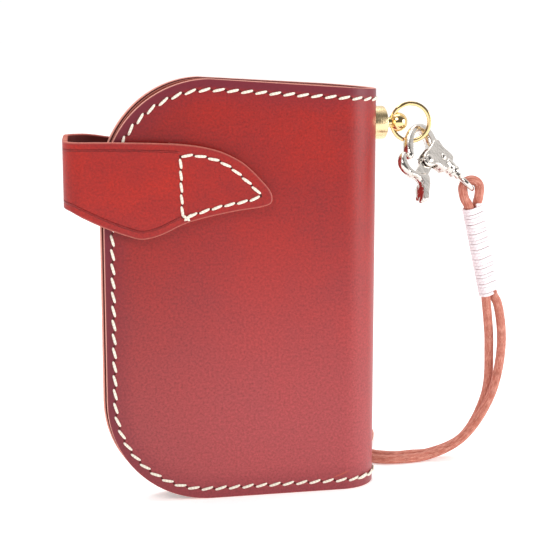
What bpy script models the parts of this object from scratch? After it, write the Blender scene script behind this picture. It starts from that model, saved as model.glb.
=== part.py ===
"""Red leather wallet with a closing strap and a wrist cord on a swivel clasp.

The wallet stands closed on its lower edge. +X points out of the spine, -Y out
of the front cover and +Z up. The origin is on the standing plane, in the
middle of the spine's leather. All lengths are in metres.

Both covers are flat and meet a round spine. A run is a distance along the
wallet's outside from the open edge, and a depth is measured inwards from it.
"""

import math

import bmesh
import bpy
from mathutils import Matrix, Vector

# Clearances
TOUCH_GAP = 0.0003
RUNNING_GAP = 0.00018
CUT_OVERRUN = 0.004

# Wallet body
COVER_HEIGHT = 0.116
SPINE_DROP = 0.0036
CLOSED_WIDTH = 0.078
OPEN_EDGE_THICKNESS = 0.0054
SPINE_RADIUS = 0.011
CORNER_RADIUS = 0.0285
LEATHER = 0.0015
LINING = 0.0006
LINING_INSET = 0.0004
FOLD_ANGLE = math.radians(45)
ARC_STEP = math.radians(6.5)
CORNER_STEPS = 9
SHARP_ANGLE = math.radians(35)
WELD_DISTANCE = 0.000003

# Pockets sewn on the linings
POCKET = 0.0006
TALL_POCKET_RUN = 0.0105
TALL_POCKET_WIDTH = 0.055
TALL_POCKET_HEIGHT = 0.082
SHORT_POCKET_RUN = 0.0165
SHORT_POCKET_WIDTH = 0.049
SHORT_POCKET_HEIGHT = 0.058
POCKET_FOOT = 0.006

# Seams
THREAD_RADIUS = 0.0003
STITCH_PITCH = 0.00385
STITCH_SHARE = 0.8
SEAM_INSET = 0.0029
STITCH_SLANT = math.radians(9)
SPINE_SEAM_MARGIN = 0.0013

# Closing strap
STRAP_LEATHER = 0.0015
STRAP_BACKING = 0.0006
LOOP_PROTRUSION = 0.01
TONGUE_LENGTH = 0.0546
TONGUE_DEPTH = 0.0262
TONGUE_DROP = 0.0422
ANCHOR_LENGTH = 0.046
LOOP_STEPS = 10
BACKING_START_SHARE = 0.5
TIP_PITCH = 0.0035
TONGUE_OUTLINE_SHARES = (
    (0.0, 1.0),
    (0.214, 0.992),
    (0.45, 0.975),
    (0.58, 0.953),
    (0.665, 0.92),
    (0.745, 0.855),
    (0.853, 0.702),
    (0.949, 0.546),
    (0.988, 0.465),
    (1.0, 0.39),
    (0.992, 0.335),
    (0.955, 0.302),
    (0.819, 0.263),
    (0.672, 0.206),
    (0.564, 0.145),
    (0.458, 0.046),
    (0.4, 0.01),
    (0.35, 0.0),
    (0.28, 0.042),
    (0.174, 0.13),
    (0.07, 0.237),
    (0.0, 0.32),
)
ANCHOR_OUTLINE_SHARES = (
    (0.0, 1.0),
    (0.6, 0.985),
    (0.87, 0.95),
    (0.96, 0.87),
    (1.0, 0.72),
    (1.0, 0.54),
    (0.96, 0.39),
    (0.87, 0.32),
    (0.6, 0.3),
    (0.0, 0.32),
)
TIP_SEAM_SHARES = (
    (0.553, 0.221),
    (0.55, 0.43),
    (0.548, 0.64),
    (0.546, 0.855),
    (0.674, 0.832),
    (0.76, 0.755),
    (0.819, 0.668),
    (0.883, 0.55),
    (0.934, 0.42),
    (0.883, 0.37),
    (0.738, 0.317),
    (0.63, 0.256),
    (0.58, 0.235),
)
ANCHOR_SEAM_SHARES = (
    (0.56, 0.37),
    (0.555, 0.65),
    (0.56, 0.92),
    (0.74, 0.91),
    (0.86, 0.86),
    (0.915, 0.77),
    (0.93, 0.63),
    (0.91, 0.49),
    (0.85, 0.41),
    (0.73, 0.375),
    (0.59, 0.37),
)

# Closure magnets
MAGNET_RADIUS = 0.004
MAGNET_THICKNESS = 0.0006
MAGNET_X_SHARE = 0.7
MAGNET_Z_SHARE = 0.53
MAGNET_SIDES = 16

# Ball-post stud
STUD_DROP = 0.0135
BASE_RADIUS = 0.0047
BASE_THICKNESS = 0.0026
SLEEVE_RADIUS = 0.0016
SLEEVE_BORE = 0.0009
SOCKET_RADIUS = 0.0017
SOCKET_DEPTH = 0.0014
SCREW_HEAD_RADIUS = 0.003
SCREW_HEAD_THICKNESS = 0.0008
SCREW_SHANK = 0.0007
BALL_RADIUS = 0.00275
BALL_REACH = 0.0084
NECK_RADIUS = 0.0014
RING_HOLE_REACH = 0.0068
RING_HOLE_RADIUS = 0.00108
TURNED_STEPS = 20

# Split ring
RING_RADIUS = 0.00527
RING_WIRE = 0.00055
RING_SAG = 0.00022
RING_YAW = math.radians(-20)

# Swivel clasp, in its own frame: along it, across it and through it
CLASP_YAW = math.radians(-10)
CLASP_PITCH = math.radians(43.2)
CLASP_ROLL = math.radians(-42)
RING_SEAT_ANGLE = math.radians(32)
RING_SEAT_ALONG = 0.00424
RING_SEAT_ACROSS = -0.0005
HOOK_LENGTH = 0.0154
HOOK_WIDTH = 0.0189
HOOK_THICKNESS = 0.0022
STEM_THICKNESS = 0.0034
LEVER_THICKNESS = 0.0024
SLOT_THICKNESS = 0.002
SLOT_RADIUS = 0.0034
LEVER_ARM = 0.0008
BARREL_RADIUS = 0.002
BARREL_LENGTH = 0.0042
BARREL_OVERLAP = 0.0012
BARREL_BORE = 0.00112
CHAMBER_RADIUS = 0.00155
CHAMBER_INSET = 0.0005
CHAMBER_LENGTH = 0.0015
SPRING_BEND = 0.001
SPRING_REACH = 0.0028
SPRING_WIRE = 0.00015
SPRING_HOOK_ANGLE = math.radians(-35)
SPRING_LEVER_ANGLE = math.radians(125)
PIVOT_ALONG = 0.0092
PIVOT_ACROSS = 0.0044
PIN_RADIUS = 0.0006
RIVET_ALONG = 0.0126
RIVET_RADIUS = 0.0007
RIVET_HEAD_RADIUS = 0.0013
RIVET_HEAD = 0.0003
HOOK_OUTLINE_SHARES = (
    (1.0, -0.156),
    (0.714, -0.169),
    (0.519, -0.247),
    (0.4, -0.305),
    (0.299, -0.312),
    (0.195, -0.299),
    (0.1, -0.24),
    (0.026, -0.143),
    (0.0, 0.019),
    (0.032, 0.182),
    (0.11, 0.338),
    (0.221, 0.461),
    (0.312, 0.5),
    (0.3735, 0.466),
    (0.303, 0.407),
    (0.256, 0.334),
    (0.188, 0.24),
    (0.143, 0.13),
    (0.136, 0.013),
    (0.162, -0.097),
    (0.247, -0.162),
    (0.364, -0.156),
    (0.46, -0.095),
    (0.49, -0.01),
    (0.475, 0.1),
    (0.461, 0.247),
    (0.506, 0.338),
    (0.597, 0.37),
    (0.701, 0.325),
    (0.805, 0.208),
    (1.0, 0.156),
)
STEM_OUTLINE_SHARES = (
    (1.003, -0.159),
    (0.714, -0.173),
    (0.56, -0.2),
    (0.486, -0.12),
    (0.486, -0.01),
    (0.471, 0.1),
    (0.457, 0.249),
    (0.503, 0.342),
    (0.597, 0.374),
    (0.703, 0.329),
    (0.807, 0.212),
    (1.003, 0.16),
)
LEVER_SHELL_SHARES = (
    (0.2835, 0.3413),
    (0.3287, 0.4038),
    (0.392, 0.4545),
    (0.478, 0.5),
    (0.519, 0.623),
    (0.63, 0.675),
    (0.734, 0.688),
    (0.893, 0.87),
    (0.991, 0.779),
    (0.864, 0.597),
    (0.779, 0.494),
    (0.701, 0.468),
    (0.558, 0.455),
    (0.461, 0.403),
    (0.39, 0.364),
)
LEVER_ARM_SHARES = (
    (0.53, 0.5),
    (0.69, 0.55),
    (0.74, 0.4),
    (0.7, 0.2),
    (0.66, 0.14),
    (0.56, 0.13),
    (0.51, 0.18),
    (0.505, 0.3),
)

# Swivel eye
EYE_LENGTH = 0.0065
EYE_WIDTH = 0.0064
EYE_WIRE = 0.00075
EYE_END_ALONG = 0.026
EYE_STEM_RADIUS = 0.0009
EYE_HEAD_RADIUS = 0.00128
EYE_SIDES = 16

# Wrist cord and its whipping
CORD_RADIUS = 0.00135
CORD_STEP = 0.0068
CORD_BEND_STEP = 0.0012
CORD_TURN = math.radians(26)
CORD_STEPS = 12
WHIP_THREAD_RADIUS = 0.00028
WHIP_TURNS = 22
WHIP_POINTS = 18
WHIP_STRAND_SPREAD = 0.00155
WHIP_TOP = (0.0301, -0.0045, 0.0776)
WHIP_FOOT = (0.0364, -0.0036, 0.0525)
WHIP_SPREAD_YAW = math.radians(21)
HANGING_STUD_HEIGHT = 0.1025
CORD_ROUTE = (
    (0.0319, -0.0047, 0.0646),
    (0.0286, -0.0051, 0.0782),
    (0.0273, -0.0051, 0.0804),
    (0.02664, -0.00522, 0.0825),
    (0.02657, -0.00521, 0.084),
    (0.02737, -0.00535, 0.08528),
    (0.02874, -0.00559, 0.08585),
    (0.03018, -0.00585, 0.08553),
    (0.03118, -0.00602, 0.08442),
    (0.03138, -0.00606, 0.08293),
    (0.0316, -0.0052, 0.0808),
    (0.0317, -0.0041, 0.0782),
    (0.0347, -0.0036, 0.0654),
    (0.038, -0.0031, 0.0519),
    (0.0393, -0.0036, 0.0491),
    (0.0418, -0.002, 0.036),
    (0.0404, 0.0017, 0.0195),
    (0.0331, 0.0049, 0.0066),
    (0.0227, 0.0062, 0.0018),
    (0.0115, 0.0068, 0.00142),
    (0.0066, 0.0092, 0.00142),
    (0.004, 0.0145, 0.00142),
    (0.0036, 0.0375, 0.00142),
    (0.0066, 0.0429, 0.00142),
    (0.0109, 0.0445, 0.00142),
    (0.0152, 0.0425, 0.00142),
    (0.0162, 0.0375, 0.00142),
    (0.0096, 0.0234, 0.00142),
    (0.0068, 0.0184, 0.00142),
    (0.0076, 0.0142, 0.00142),
    (0.0132, 0.0102, 0.00142),
    (0.0185, 0.0099, 0.00142),
    (0.0242, 0.0093, 0.0016),
    (0.0342, 0.0075, 0.0059),
    (0.0403, 0.0047, 0.0193),
    (0.0392, 0.0009, 0.0358),
    (0.0373, -0.0018, 0.0434),
    (0.0358, -0.0034, 0.0494),
    (0.0352, -0.0041, 0.0515),
    (0.0322, -0.0047, 0.0637),
)

# Worked out from the sizes above
TONGUE_FOOT = COVER_HEIGHT - TONGUE_DROP
STUD_HEIGHT = COVER_HEIGHT - STUD_DROP
HANGING_LIFT = STUD_HEIGHT - HANGING_STUD_HEIGHT
SPINE_CENTRE_X = LEATHER / 2 - SPINE_RADIUS
OPEN_EDGE_X = LEATHER / 2 - CLOSED_WIDTH
EDGE_REACH = SPINE_CENTRE_X - OPEN_EDGE_X
EDGE_DISTANCE = math.hypot(EDGE_REACH, OPEN_EDGE_THICKNESS / 2)
COVER_TILT = math.asin(SPINE_RADIUS / EDGE_DISTANCE) - math.atan2(OPEN_EDGE_THICKNESS / 2, EDGE_REACH)
FLAT_RUN = math.sqrt(EDGE_DISTANCE**2 - SPINE_RADIUS**2)
SPINE_RUN = FLAT_RUN + SPINE_RADIUS * (math.pi / 2 + COVER_TILT)
FOLD_RUN = SPINE_RUN - SPINE_RADIUS * FOLD_ANGLE
LINING_DEPTH = LEATHER + TOUCH_GAP
STRAP_STANDOFF = 2 * TOUCH_GAP + STRAP_BACKING + STRAP_LEATHER
LOOP_END_X = OPEN_EDGE_X - LOOP_PROTRUSION
LOOP_RADIUS = (
    math.cos(COVER_TILT) * OPEN_EDGE_THICKNESS / 2
    + STRAP_STANDOFF
    - math.sin(COVER_TILT) * LOOP_PROTRUSION
) / (1 - math.sin(COVER_TILT))

LEATHER_RED = (0.52, 0.055, 0.035)
LINING_RED = (0.36, 0.07, 0.05)
THREAD_CREAM = (0.85, 0.8, 0.7)
BRASS = (0.83, 0.62, 0.28)
NICKEL = (0.78, 0.76, 0.72)
CORD_TAN = (0.5, 0.2, 0.13)


def clear_scene():
    """Remove every object that the file opened with."""
    for old in list(bpy.data.objects):
        bpy.data.objects.remove(old, do_unlink=True)


def new_collection(name):
    """Make a collection under the scene's own."""
    made = bpy.data.collections.new(name)
    bpy.context.scene.collection.children.link(made)
    return made


def material(name, colour, roughness, metallic=0.0):
    """Make a Principled material."""
    made = bpy.data.materials.new(name)
    made.use_nodes = True
    shader = made.node_tree.nodes["Principled BSDF"]
    shader.inputs["Base Color"].default_value = (*colour, 1.0)
    shader.inputs["Roughness"].default_value = roughness
    shader.inputs["Metallic"].default_value = metallic
    return made


def finish(obj, name, look, group):
    """Name a made object, give it its own material and put it in its group."""
    obj.name = name
    obj.data.name = name
    obj.data.materials.clear()
    obj.data.materials.append(material(name, *look))
    for old in list(obj.users_collection):
        old.objects.unlink(obj)
    group.objects.link(obj)
    return obj


def as_mesh(source):
    """Turn a curve object into a welded mesh object in the same place."""
    depsgraph = bpy.context.evaluated_depsgraph_get()
    mesh = bpy.data.meshes.new_from_object(source.evaluated_get(depsgraph))
    mesh.transform(source.matrix_world)
    bpy.data.objects.remove(source, do_unlink=True)
    edit = bmesh.new()
    edit.from_mesh(mesh)
    bmesh.ops.remove_doubles(edit, verts=edit.verts, dist=WELD_DISTANCE)
    bmesh.ops.recalc_face_normals(edit, faces=edit.faces)
    edit.to_mesh(mesh)
    edit.free()
    made = bpy.data.objects.new("solid", mesh)
    bpy.context.scene.collection.objects.link(made)
    return made


def plate(outline, thickness, place):
    """Fill a flat outline and give it a thickness about its own plane."""
    curve = bpy.data.curves.new("outline", "CURVE")
    curve.dimensions = "2D"
    curve.fill_mode = "BOTH"
    curve.extrude = thickness / 2
    spline = curve.splines.new("POLY")
    spline.points.add(len(outline) - 1)
    for point, (x, y) in zip(spline.points, outline):
        point.co = (x, y, 0, 1)
    spline.use_cyclic_u = True
    source = bpy.data.objects.new("outline", curve)
    bpy.context.scene.collection.objects.link(source)
    source.matrix_world = place
    bpy.context.view_layer.update()
    return as_mesh(source)


def rod(radius, start, end, sides=MAGNET_SIDES):
    """Make a closed cylinder between two points."""
    edit = bmesh.new()
    axis = Vector(end) - Vector(start)
    bmesh.ops.create_cone(
        edit,
        cap_ends=True,
        segments=sides,
        radius1=radius,
        radius2=radius,
        depth=axis.length,
    )
    mesh = bpy.data.meshes.new("rod")
    edit.to_mesh(mesh)
    edit.free()
    turn = Vector((0, 0, 1)).rotation_difference(axis).to_matrix().to_4x4()
    mesh.transform(Matrix.Translation((Vector(start) + Vector(end)) / 2) @ turn)
    made = bpy.data.objects.new("rod", mesh)
    bpy.context.scene.collection.objects.link(made)
    return made


def combine(obj, other, operation):
    """Apply one exact Boolean between two mesh objects and drop the second."""
    step = obj.modifiers.new(operation.lower(), "BOOLEAN")
    step.operation = operation
    step.solver = "EXACT"
    step.object = other
    bpy.context.view_layer.update()
    depsgraph = bpy.context.evaluated_depsgraph_get()
    mesh = bpy.data.meshes.new_from_object(obj.evaluated_get(depsgraph))
    obj.modifiers.remove(step)
    obj.data = mesh
    bpy.data.objects.remove(other, do_unlink=True)
    return obj


def tube(paths, radius, resolution, cyclic=False):
    """Make a round tube with filled caps along each path."""
    curve = bpy.data.curves.new("tube", "CURVE")
    curve.dimensions = "3D"
    curve.bevel_depth = radius
    curve.bevel_resolution = resolution
    curve.use_fill_caps = not cyclic
    for path in paths:
        spline = curve.splines.new("POLY")
        spline.points.add(len(path) - 1)
        for point, place in zip(spline.points, path):
            point.co = (*place, 1)
        spline.use_cyclic_u = cyclic
    made = bpy.data.objects.new("tube", curve)
    bpy.context.scene.collection.objects.link(made)
    return made


def turned(profile, place, steps=TURNED_STEPS):
    """Turn a profile, outer side first and top to bottom, about its own Z."""
    mesh = bpy.data.meshes.new("profile")
    closed = profile[0][0] > 0
    edges = [(i, i + 1) for i in range(len(profile) - 1)]
    if closed:
        edges.append((len(profile) - 1, 0))
    mesh.from_pydata([(radius, 0, height) for radius, height in profile], edges, [])
    made = bpy.data.objects.new("turned", mesh)
    bpy.context.scene.collection.objects.link(made)
    screw = made.modifiers.new("turn", "SCREW")
    screw.angle = 2 * math.pi
    screw.steps = steps
    screw.render_steps = steps
    screw.use_merge_vertices = True
    screw.merge_threshold = WELD_DISTANCE
    made.matrix_world = place
    bpy.context.view_layer.update()
    return made


def shade(obj):
    """Shade a round mesh smooth, with its real edges kept sharp."""
    obj.data.shade_smooth()
    obj.data.set_sharp_from_angle(angle=SHARP_ANGLE)
    return obj


def skin_point(run, depth, side):
    """Plan point at a run along the outside and a depth below it.

    Side is -1 on the front cover and 1 on the rear one.
    """
    if run < FLAT_RUN:
        x = OPEN_EDGE_X + run * math.cos(COVER_TILT) + depth * math.sin(COVER_TILT)
        y = OPEN_EDGE_THICKNESS / 2 + run * math.sin(COVER_TILT) - depth * math.cos(COVER_TILT)
        return x, side * y
    angle = math.pi / 2 + COVER_TILT - (run - FLAT_RUN) / SPINE_RADIUS
    reach = SPINE_RADIUS - depth
    return SPINE_CENTRE_X + reach * math.cos(angle), side * reach * math.sin(angle)


def run_steps(start, end):
    """Runs from start to end, close together round the spine."""
    runs = [start]
    if start < FLAT_RUN < end:
        runs.append(FLAT_RUN)
    first = max(start, FLAT_RUN)
    count = max(1, math.ceil((end - first) / (SPINE_RADIUS * ARC_STEP)))
    runs += [first + (end - first) * i / count for i in range(1, count + 1)]
    return runs


def wall_plan(start, end, depth, thickness, side):
    """Plan outline of a wall that follows a cover's outside."""
    runs = run_steps(start, end) if end > FLAT_RUN else [start, end]
    outer = [skin_point(run, depth, side) for run in runs]
    inner = [skin_point(run, depth + thickness, side) for run in reversed(runs)]
    return outer + inner


def spine_plan(depth, thickness):
    """Plan outline of the spine's wall between the two folds."""
    half = FOLD_ANGLE - TOUCH_GAP / 2 / (SPINE_RADIUS - depth)
    count = math.ceil(2 * half / ARC_STEP)
    angles = [-half + 2 * half * i / count for i in range(count + 1)]
    outline = []
    for reach, turn in ((SPINE_RADIUS - depth, angles), (SPINE_RADIUS - depth - thickness, angles[::-1])):
        for angle in turn:
            outline.append((SPINE_CENTRE_X + reach * math.cos(angle), reach * math.sin(angle)))
    return outline


def top_height(x):
    """Height of the top edge, which falls from the corner to the spine."""
    corner = OPEN_EDGE_X + CORNER_RADIUS
    share = max(0.0, (x - corner) / (LEATHER / 2 - corner))
    return COVER_HEIGHT - SPINE_DROP * share


def cover_face(inset, reach):
    """Upright outline of a cover, with round corners at the open edge."""
    left = OPEN_EDGE_X + inset
    radius = CORNER_RADIUS - inset
    turns = [math.pi / 2 * i / CORNER_STEPS for i in range(CORNER_STEPS + 1)]
    lower = [
        (left + radius * (1 - math.cos(t)), inset + radius * (1 - math.sin(t)))
        for t in turns
    ]
    upper = [
        (left + radius * (1 - math.sin(t)), COVER_HEIGHT - inset - radius * (1 - math.cos(t)))
        for t in turns
    ]
    return lower + [(reach, inset), (reach, top_height(reach) - inset)] + upper


UPRIGHT = Matrix.Rotation(math.pi / 2, 4, "X")


def leather_wall(plan, face):
    """Cut an upright wall with this plan to an upright face outline."""
    mid = Matrix.Translation((0, 0, COVER_HEIGHT / 2))
    wall = plate(plan, COVER_HEIGHT + CUT_OVERRUN, mid)
    face_cut = plate(face, 2 * (SPINE_RADIUS + LOOP_RADIUS + CUT_OVERRUN), UPRIGHT)
    return combine(wall, face_cut, "INTERSECT")


def build_cover(name, side, group):
    """Outer leather of one cover, with its share of the spine's bend."""
    plan = wall_plan(0, FOLD_RUN - TOUCH_GAP / 2, 0, LEATHER, side)
    wall = leather_wall(plan, cover_face(0, LEATHER / 2))
    return finish(wall, name, (LEATHER_RED, 0.4), group)


def build_lining(name, side, group):
    """Thin lining inside one cover."""
    end = FOLD_RUN - TOUCH_GAP / 2
    plan = wall_plan(LINING_INSET, end, LINING_DEPTH, LINING, side)
    wall = leather_wall(plan, cover_face(LINING_INSET, LEATHER / 2))
    if side < 0:
        hole = magnet_rod(LINING_DEPTH - CUT_OVERRUN, LINING_DEPTH + CUT_OVERRUN, TOUCH_GAP)
        wall = combine(wall, hole, "DIFFERENCE")
    return finish(wall, name, (LINING_RED, 0.6), group)


def build_pocket(name, side, layer, start, width, height, group):
    """Flat pocket panel sewn on a lining."""
    depth = LINING_DEPTH + LINING + TOUCH_GAP + layer * (POCKET + TOUCH_GAP)
    plan = wall_plan(start, start + width, depth, POCKET, side)
    left = OPEN_EDGE_X
    face = [
        (left, POCKET_FOOT),
        (LEATHER / 2, POCKET_FOOT),
        (LEATHER / 2, POCKET_FOOT + height),
        (left, POCKET_FOOT + height),
    ]
    return finish(leather_wall(plan, face), name, (LINING_RED, 0.55), group)


def build_spine(name, depth, thickness, inset, look, group):
    """One layer of the spine between the folds, with the stud's hole."""
    face = cover_face(inset, LEATHER / 2 + CUT_OVERRUN)
    wall = leather_wall(spine_plan(depth, thickness), face)
    hole = rod(
        SLEEVE_RADIUS + RUNNING_GAP,
        (-SPINE_RADIUS, 0, STUD_HEIGHT),
        (CUT_OVERRUN, 0, STUD_HEIGHT),
    )
    return finish(combine(wall, hole, "DIFFERENCE"), name, look, group)


def seam_thread(points, pitch, to_space):
    """One thread along a seam, with each stitch slanted across the line."""
    lengths = [0.0]
    for a, b in zip(points, points[1:]):
        lengths.append(lengths[-1] + (Vector(b) - Vector(a)).length)
    count = max(1, round(lengths[-1] / pitch))
    shares = []
    for i in range(count):
        shares.append((i + (1 - STITCH_SHARE) / 2, -1))
        shares.append((i + (1 + STITCH_SHARE) / 2, 1))
    offset = pitch * STITCH_SHARE / 2 * math.sin(STITCH_SLANT)
    path = []
    for share, side in shares:
        target = lengths[-1] * share / count
        k = max(j for j in range(len(lengths) - 1) if lengths[j] <= target)
        a, b = Vector(points[k]), Vector(points[k + 1])
        heading = (b - a).normalized()
        across = Vector((-heading.y, heading.x))
        place = a + heading * (target - lengths[k]) + across * (offset * side)
        path.append(to_space(*place))
    return as_mesh(tube([path], THREAD_RADIUS, 0))


def cover_seam():
    """Run and height points of a cover's seam, from spine foot to spine top."""
    radius = CORNER_RADIUS - SEAM_INSET
    turns = [math.pi / 2 * i / CORNER_STEPS for i in range(CORNER_STEPS + 1)]
    end = FOLD_RUN - SPINE_SEAM_MARGIN
    top = top_height(SPINE_CENTRE_X) - SEAM_INSET
    lower = [
        (SEAM_INSET + radius * (1 - math.sin(t)), SEAM_INSET + radius * (1 - math.cos(t)))
        for t in turns
    ]
    upper = [
        (SEAM_INSET + radius * (1 - math.cos(t)), COVER_HEIGHT - SEAM_INSET - radius * (1 - math.sin(t)))
        for t in turns
    ]
    return [(end, SEAM_INSET)] + lower + upper + [(end, top)]


def build_cover_stitches(name, side, group):
    """Thread that shows along a cover's edge."""

    def to_space(run, height):
        x, y = skin_point(run, -TOUCH_GAP - THREAD_RADIUS, side)
        return x, y, height

    thread = seam_thread(cover_seam(), STITCH_PITCH, to_space)
    return finish(thread, name, (THREAD_CREAM, 0.6), group)


def build_spine_stitches(name, height, group):
    """Thread across the spine at one height."""
    start = FOLD_RUN + SPINE_SEAM_MARGIN
    middle = SPINE_RUN

    def to_space(run, height):
        side = -1 if run <= middle else 1
        x, y = skin_point(min(run, 2 * middle - run), -TOUCH_GAP - THREAD_RADIUS, side)
        return x, y, height

    thread = seam_thread([(start, height), (2 * middle - start, height)], STITCH_PITCH, to_space)
    return finish(thread, name, (THREAD_CREAM, 0.6), group)


def strap_point(run, depth, side):
    """Plan point on the strap, from the loop's outer end towards the spine."""
    turn = math.pi / 2 - COVER_TILT
    centre = LOOP_END_X + LOOP_RADIUS
    if run < LOOP_RADIUS * turn:
        angle = run / LOOP_RADIUS
        reach = LOOP_RADIUS - depth
        return centre - reach * math.cos(angle), side * reach * math.sin(angle)
    left = run - LOOP_RADIUS * turn
    reach = LOOP_RADIUS - depth
    x = centre - reach * math.sin(COVER_TILT) + left * math.cos(COVER_TILT)
    y = reach * math.cos(COVER_TILT) + left * math.sin(COVER_TILT)
    return x, side * y


def strap_plan(length, side):
    """Plan outline of one leaf of the strap."""
    turn = LOOP_RADIUS * (math.pi / 2 - COVER_TILT)
    start = TOUCH_GAP / 2
    runs = [start + (turn - start) * i / LOOP_STEPS for i in range(LOOP_STEPS + 1)]
    runs.append(turn + length + CUT_OVERRUN)
    outer = [strap_point(run, 0, side) for run in runs]
    inner = [strap_point(run, STRAP_LEATHER, side) for run in reversed(runs)]
    return outer + inner


def strap_face(shares, length):
    """Upright outline of a strap leaf from its shares."""
    outline = [(LOOP_END_X + u * length, TONGUE_FOOT + v * TONGUE_DEPTH) for u, v in shares]
    first, last = outline[0], outline[-1]
    return [(LOOP_END_X - CUT_OVERRUN, first[1])] + outline + [(LOOP_END_X - CUT_OVERRUN, last[1])]


def build_strap_leaf(name, shares, length, side, group):
    """One leaf of the closing strap, from the loop's outer end to its tip."""
    wall = leather_wall(strap_plan(length, side), strap_face(shares, length))
    return finish(wall, name, (LEATHER_RED, 0.4), group)


def build_strap_backing(name, shares, length, side, group):
    """Leather patch between a leaf's sewn end and the cover."""
    depth = -TOUCH_GAP - STRAP_BACKING
    start = LOOP_END_X + BACKING_START_SHARE * length
    run = (start - OPEN_EDGE_X) / math.cos(COVER_TILT)
    plan = wall_plan(run, FLAT_RUN, depth, STRAP_BACKING, side)
    wall = leather_wall(plan, strap_face(shares, length))
    if side < 0:
        wall = combine(wall, magnet_rod(-STRAP_STANDOFF, 0, TOUCH_GAP), "DIFFERENCE")
    return finish(wall, name, (LINING_RED, 0.55), group)


def magnet_rod(start_depth, end_depth, clearance):
    """Cylinder square to the front cover, on the magnets' common line."""
    x = LOOP_END_X + MAGNET_X_SHARE * TONGUE_LENGTH
    z = TONGUE_FOOT + MAGNET_Z_SHARE * TONGUE_DEPTH
    run = (x - OPEN_EDGE_X) / math.cos(COVER_TILT)
    start = (*skin_point(run, start_depth, -1), z)
    end = (*skin_point(run, end_depth, -1), z)
    return rod(MAGNET_RADIUS + clearance, start, end)


def build_magnets(group):
    """Disc magnets in the strap's tip and in the front cover."""
    tip = magnet_rod(-TOUCH_GAP - MAGNET_THICKNESS, -TOUCH_GAP, 0)
    finish(tip, "strap_magnet", (NICKEL, 0.3, 1.0), group)
    start = LINING_DEPTH
    cover = magnet_rod(start, start + MAGNET_THICKNESS, 0)
    finish(cover, "cover_magnet", (NICKEL, 0.3, 1.0), group)


def build_strap_stitches(name, seam, length, side, group):
    """Thread along the sewn patch of a strap leaf."""
    turn = LOOP_RADIUS * (math.pi / 2 - COVER_TILT)
    origin = LOOP_END_X + LOOP_RADIUS * (1 - math.sin(COVER_TILT))

    def to_space(across, height):
        run = turn + (across - origin) / math.cos(COVER_TILT)
        x, y = strap_point(run, -TOUCH_GAP - THREAD_RADIUS, side)
        return x, y, height

    line = [(LOOP_END_X + u * length, TONGUE_FOOT + v * TONGUE_DEPTH) for u, v in seam]
    return finish(seam_thread(line, TIP_PITCH, to_space), name, (THREAD_CREAM, 0.6), group)


STUD_PLACE = Matrix.Translation((LEATHER / 2, 0, STUD_HEIGHT)) @ Matrix.Rotation(math.pi / 2, 4, "Y")


def build_stud(group):
    """Base with its sleeve, the screw inside the spine and the ball post."""
    top = TOUCH_GAP + BASE_THICKNESS
    lower = -LINING_DEPTH - LINING
    socket = top - SOCKET_DEPTH
    base = turned(
        [
            (BASE_RADIUS, top),
            (BASE_RADIUS, TOUCH_GAP),
            (SLEEVE_RADIUS, TOUCH_GAP),
            (SLEEVE_RADIUS, lower),
            (SLEEVE_BORE, lower),
            (SLEEVE_BORE, socket),
            (SOCKET_RADIUS, socket),
            (SOCKET_RADIUS, top),
        ],
        STUD_PLACE,
    )
    finish(shade(base), "stud_base", (BRASS, 0.35, 1.0), group)
    reach = SPINE_RADIUS - LINING_DEPTH - LINING
    head = lower - TOUCH_GAP - reach + math.sqrt(reach**2 - SCREW_HEAD_RADIUS**2)
    screw = turned(
        [
            (0, 0),
            (SCREW_SHANK, 0),
            (SCREW_SHANK, head),
            (SCREW_HEAD_RADIUS, head),
            (SCREW_HEAD_RADIUS, head - SCREW_HEAD_THICKNESS),
            (0, head - SCREW_HEAD_THICKNESS),
        ],
        STUD_PLACE,
    )
    finish(shade(screw), "stud_screw", (BRASS, 0.35, 1.0), group)
    build_ball_post(socket + TOUCH_GAP, group)


def build_ball_post(neck_end, group):
    """Ball on a neck that turns in the base, drilled for the split ring."""
    centre = BALL_REACH - LEATHER / 2
    neck_angle = math.asin(NECK_RADIUS / BALL_RADIUS)
    count = TURNED_STEPS // 2
    profile = []
    for i in range(count + 1):
        angle = (math.pi - neck_angle) * i / count
        profile.append((BALL_RADIUS * math.sin(angle), centre + BALL_RADIUS * math.cos(angle)))
    profile[0] = (0, centre + BALL_RADIUS)
    profile += [(NECK_RADIUS, neck_end), (0, neck_end)]
    post = turned(profile, STUD_PLACE)
    hole = rod(
        RING_HOLE_RADIUS,
        (RING_HOLE_REACH, 0, STUD_HEIGHT - BALL_RADIUS - CUT_OVERRUN),
        (RING_HOLE_REACH, 0, STUD_HEIGHT + BALL_RADIUS + CUT_OVERRUN),
        TURNED_STEPS,
    )
    solid = combine(as_mesh(post), hole, "DIFFERENCE")
    finish(shade(solid), "ball_post", (BRASS, 0.2, 1.0), group)


def ring_heading():
    """Level direction from the ball's hole to the ring's middle."""
    return Vector((math.cos(RING_YAW), math.sin(RING_YAW), 0))


def ring_centre():
    """Middle of the split ring."""
    return Vector((RING_HOLE_REACH, 0, STUD_HEIGHT)) + ring_heading() * (RING_RADIUS - RING_SAG)


def build_ring(group):
    """Split ring through the ball's hole."""
    bpy.ops.mesh.primitive_torus_add(
        major_segments=28,
        minor_segments=8,
        major_radius=RING_RADIUS,
        minor_radius=RING_WIRE,
    )
    ring = bpy.context.object
    ring.matrix_world = Matrix.Translation(ring_centre()) @ Matrix.Rotation(RING_YAW, 4, "Z") @ UPRIGHT
    finish(shade(ring), "split_ring", (BRASS, 0.2, 1.0), group)


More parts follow.
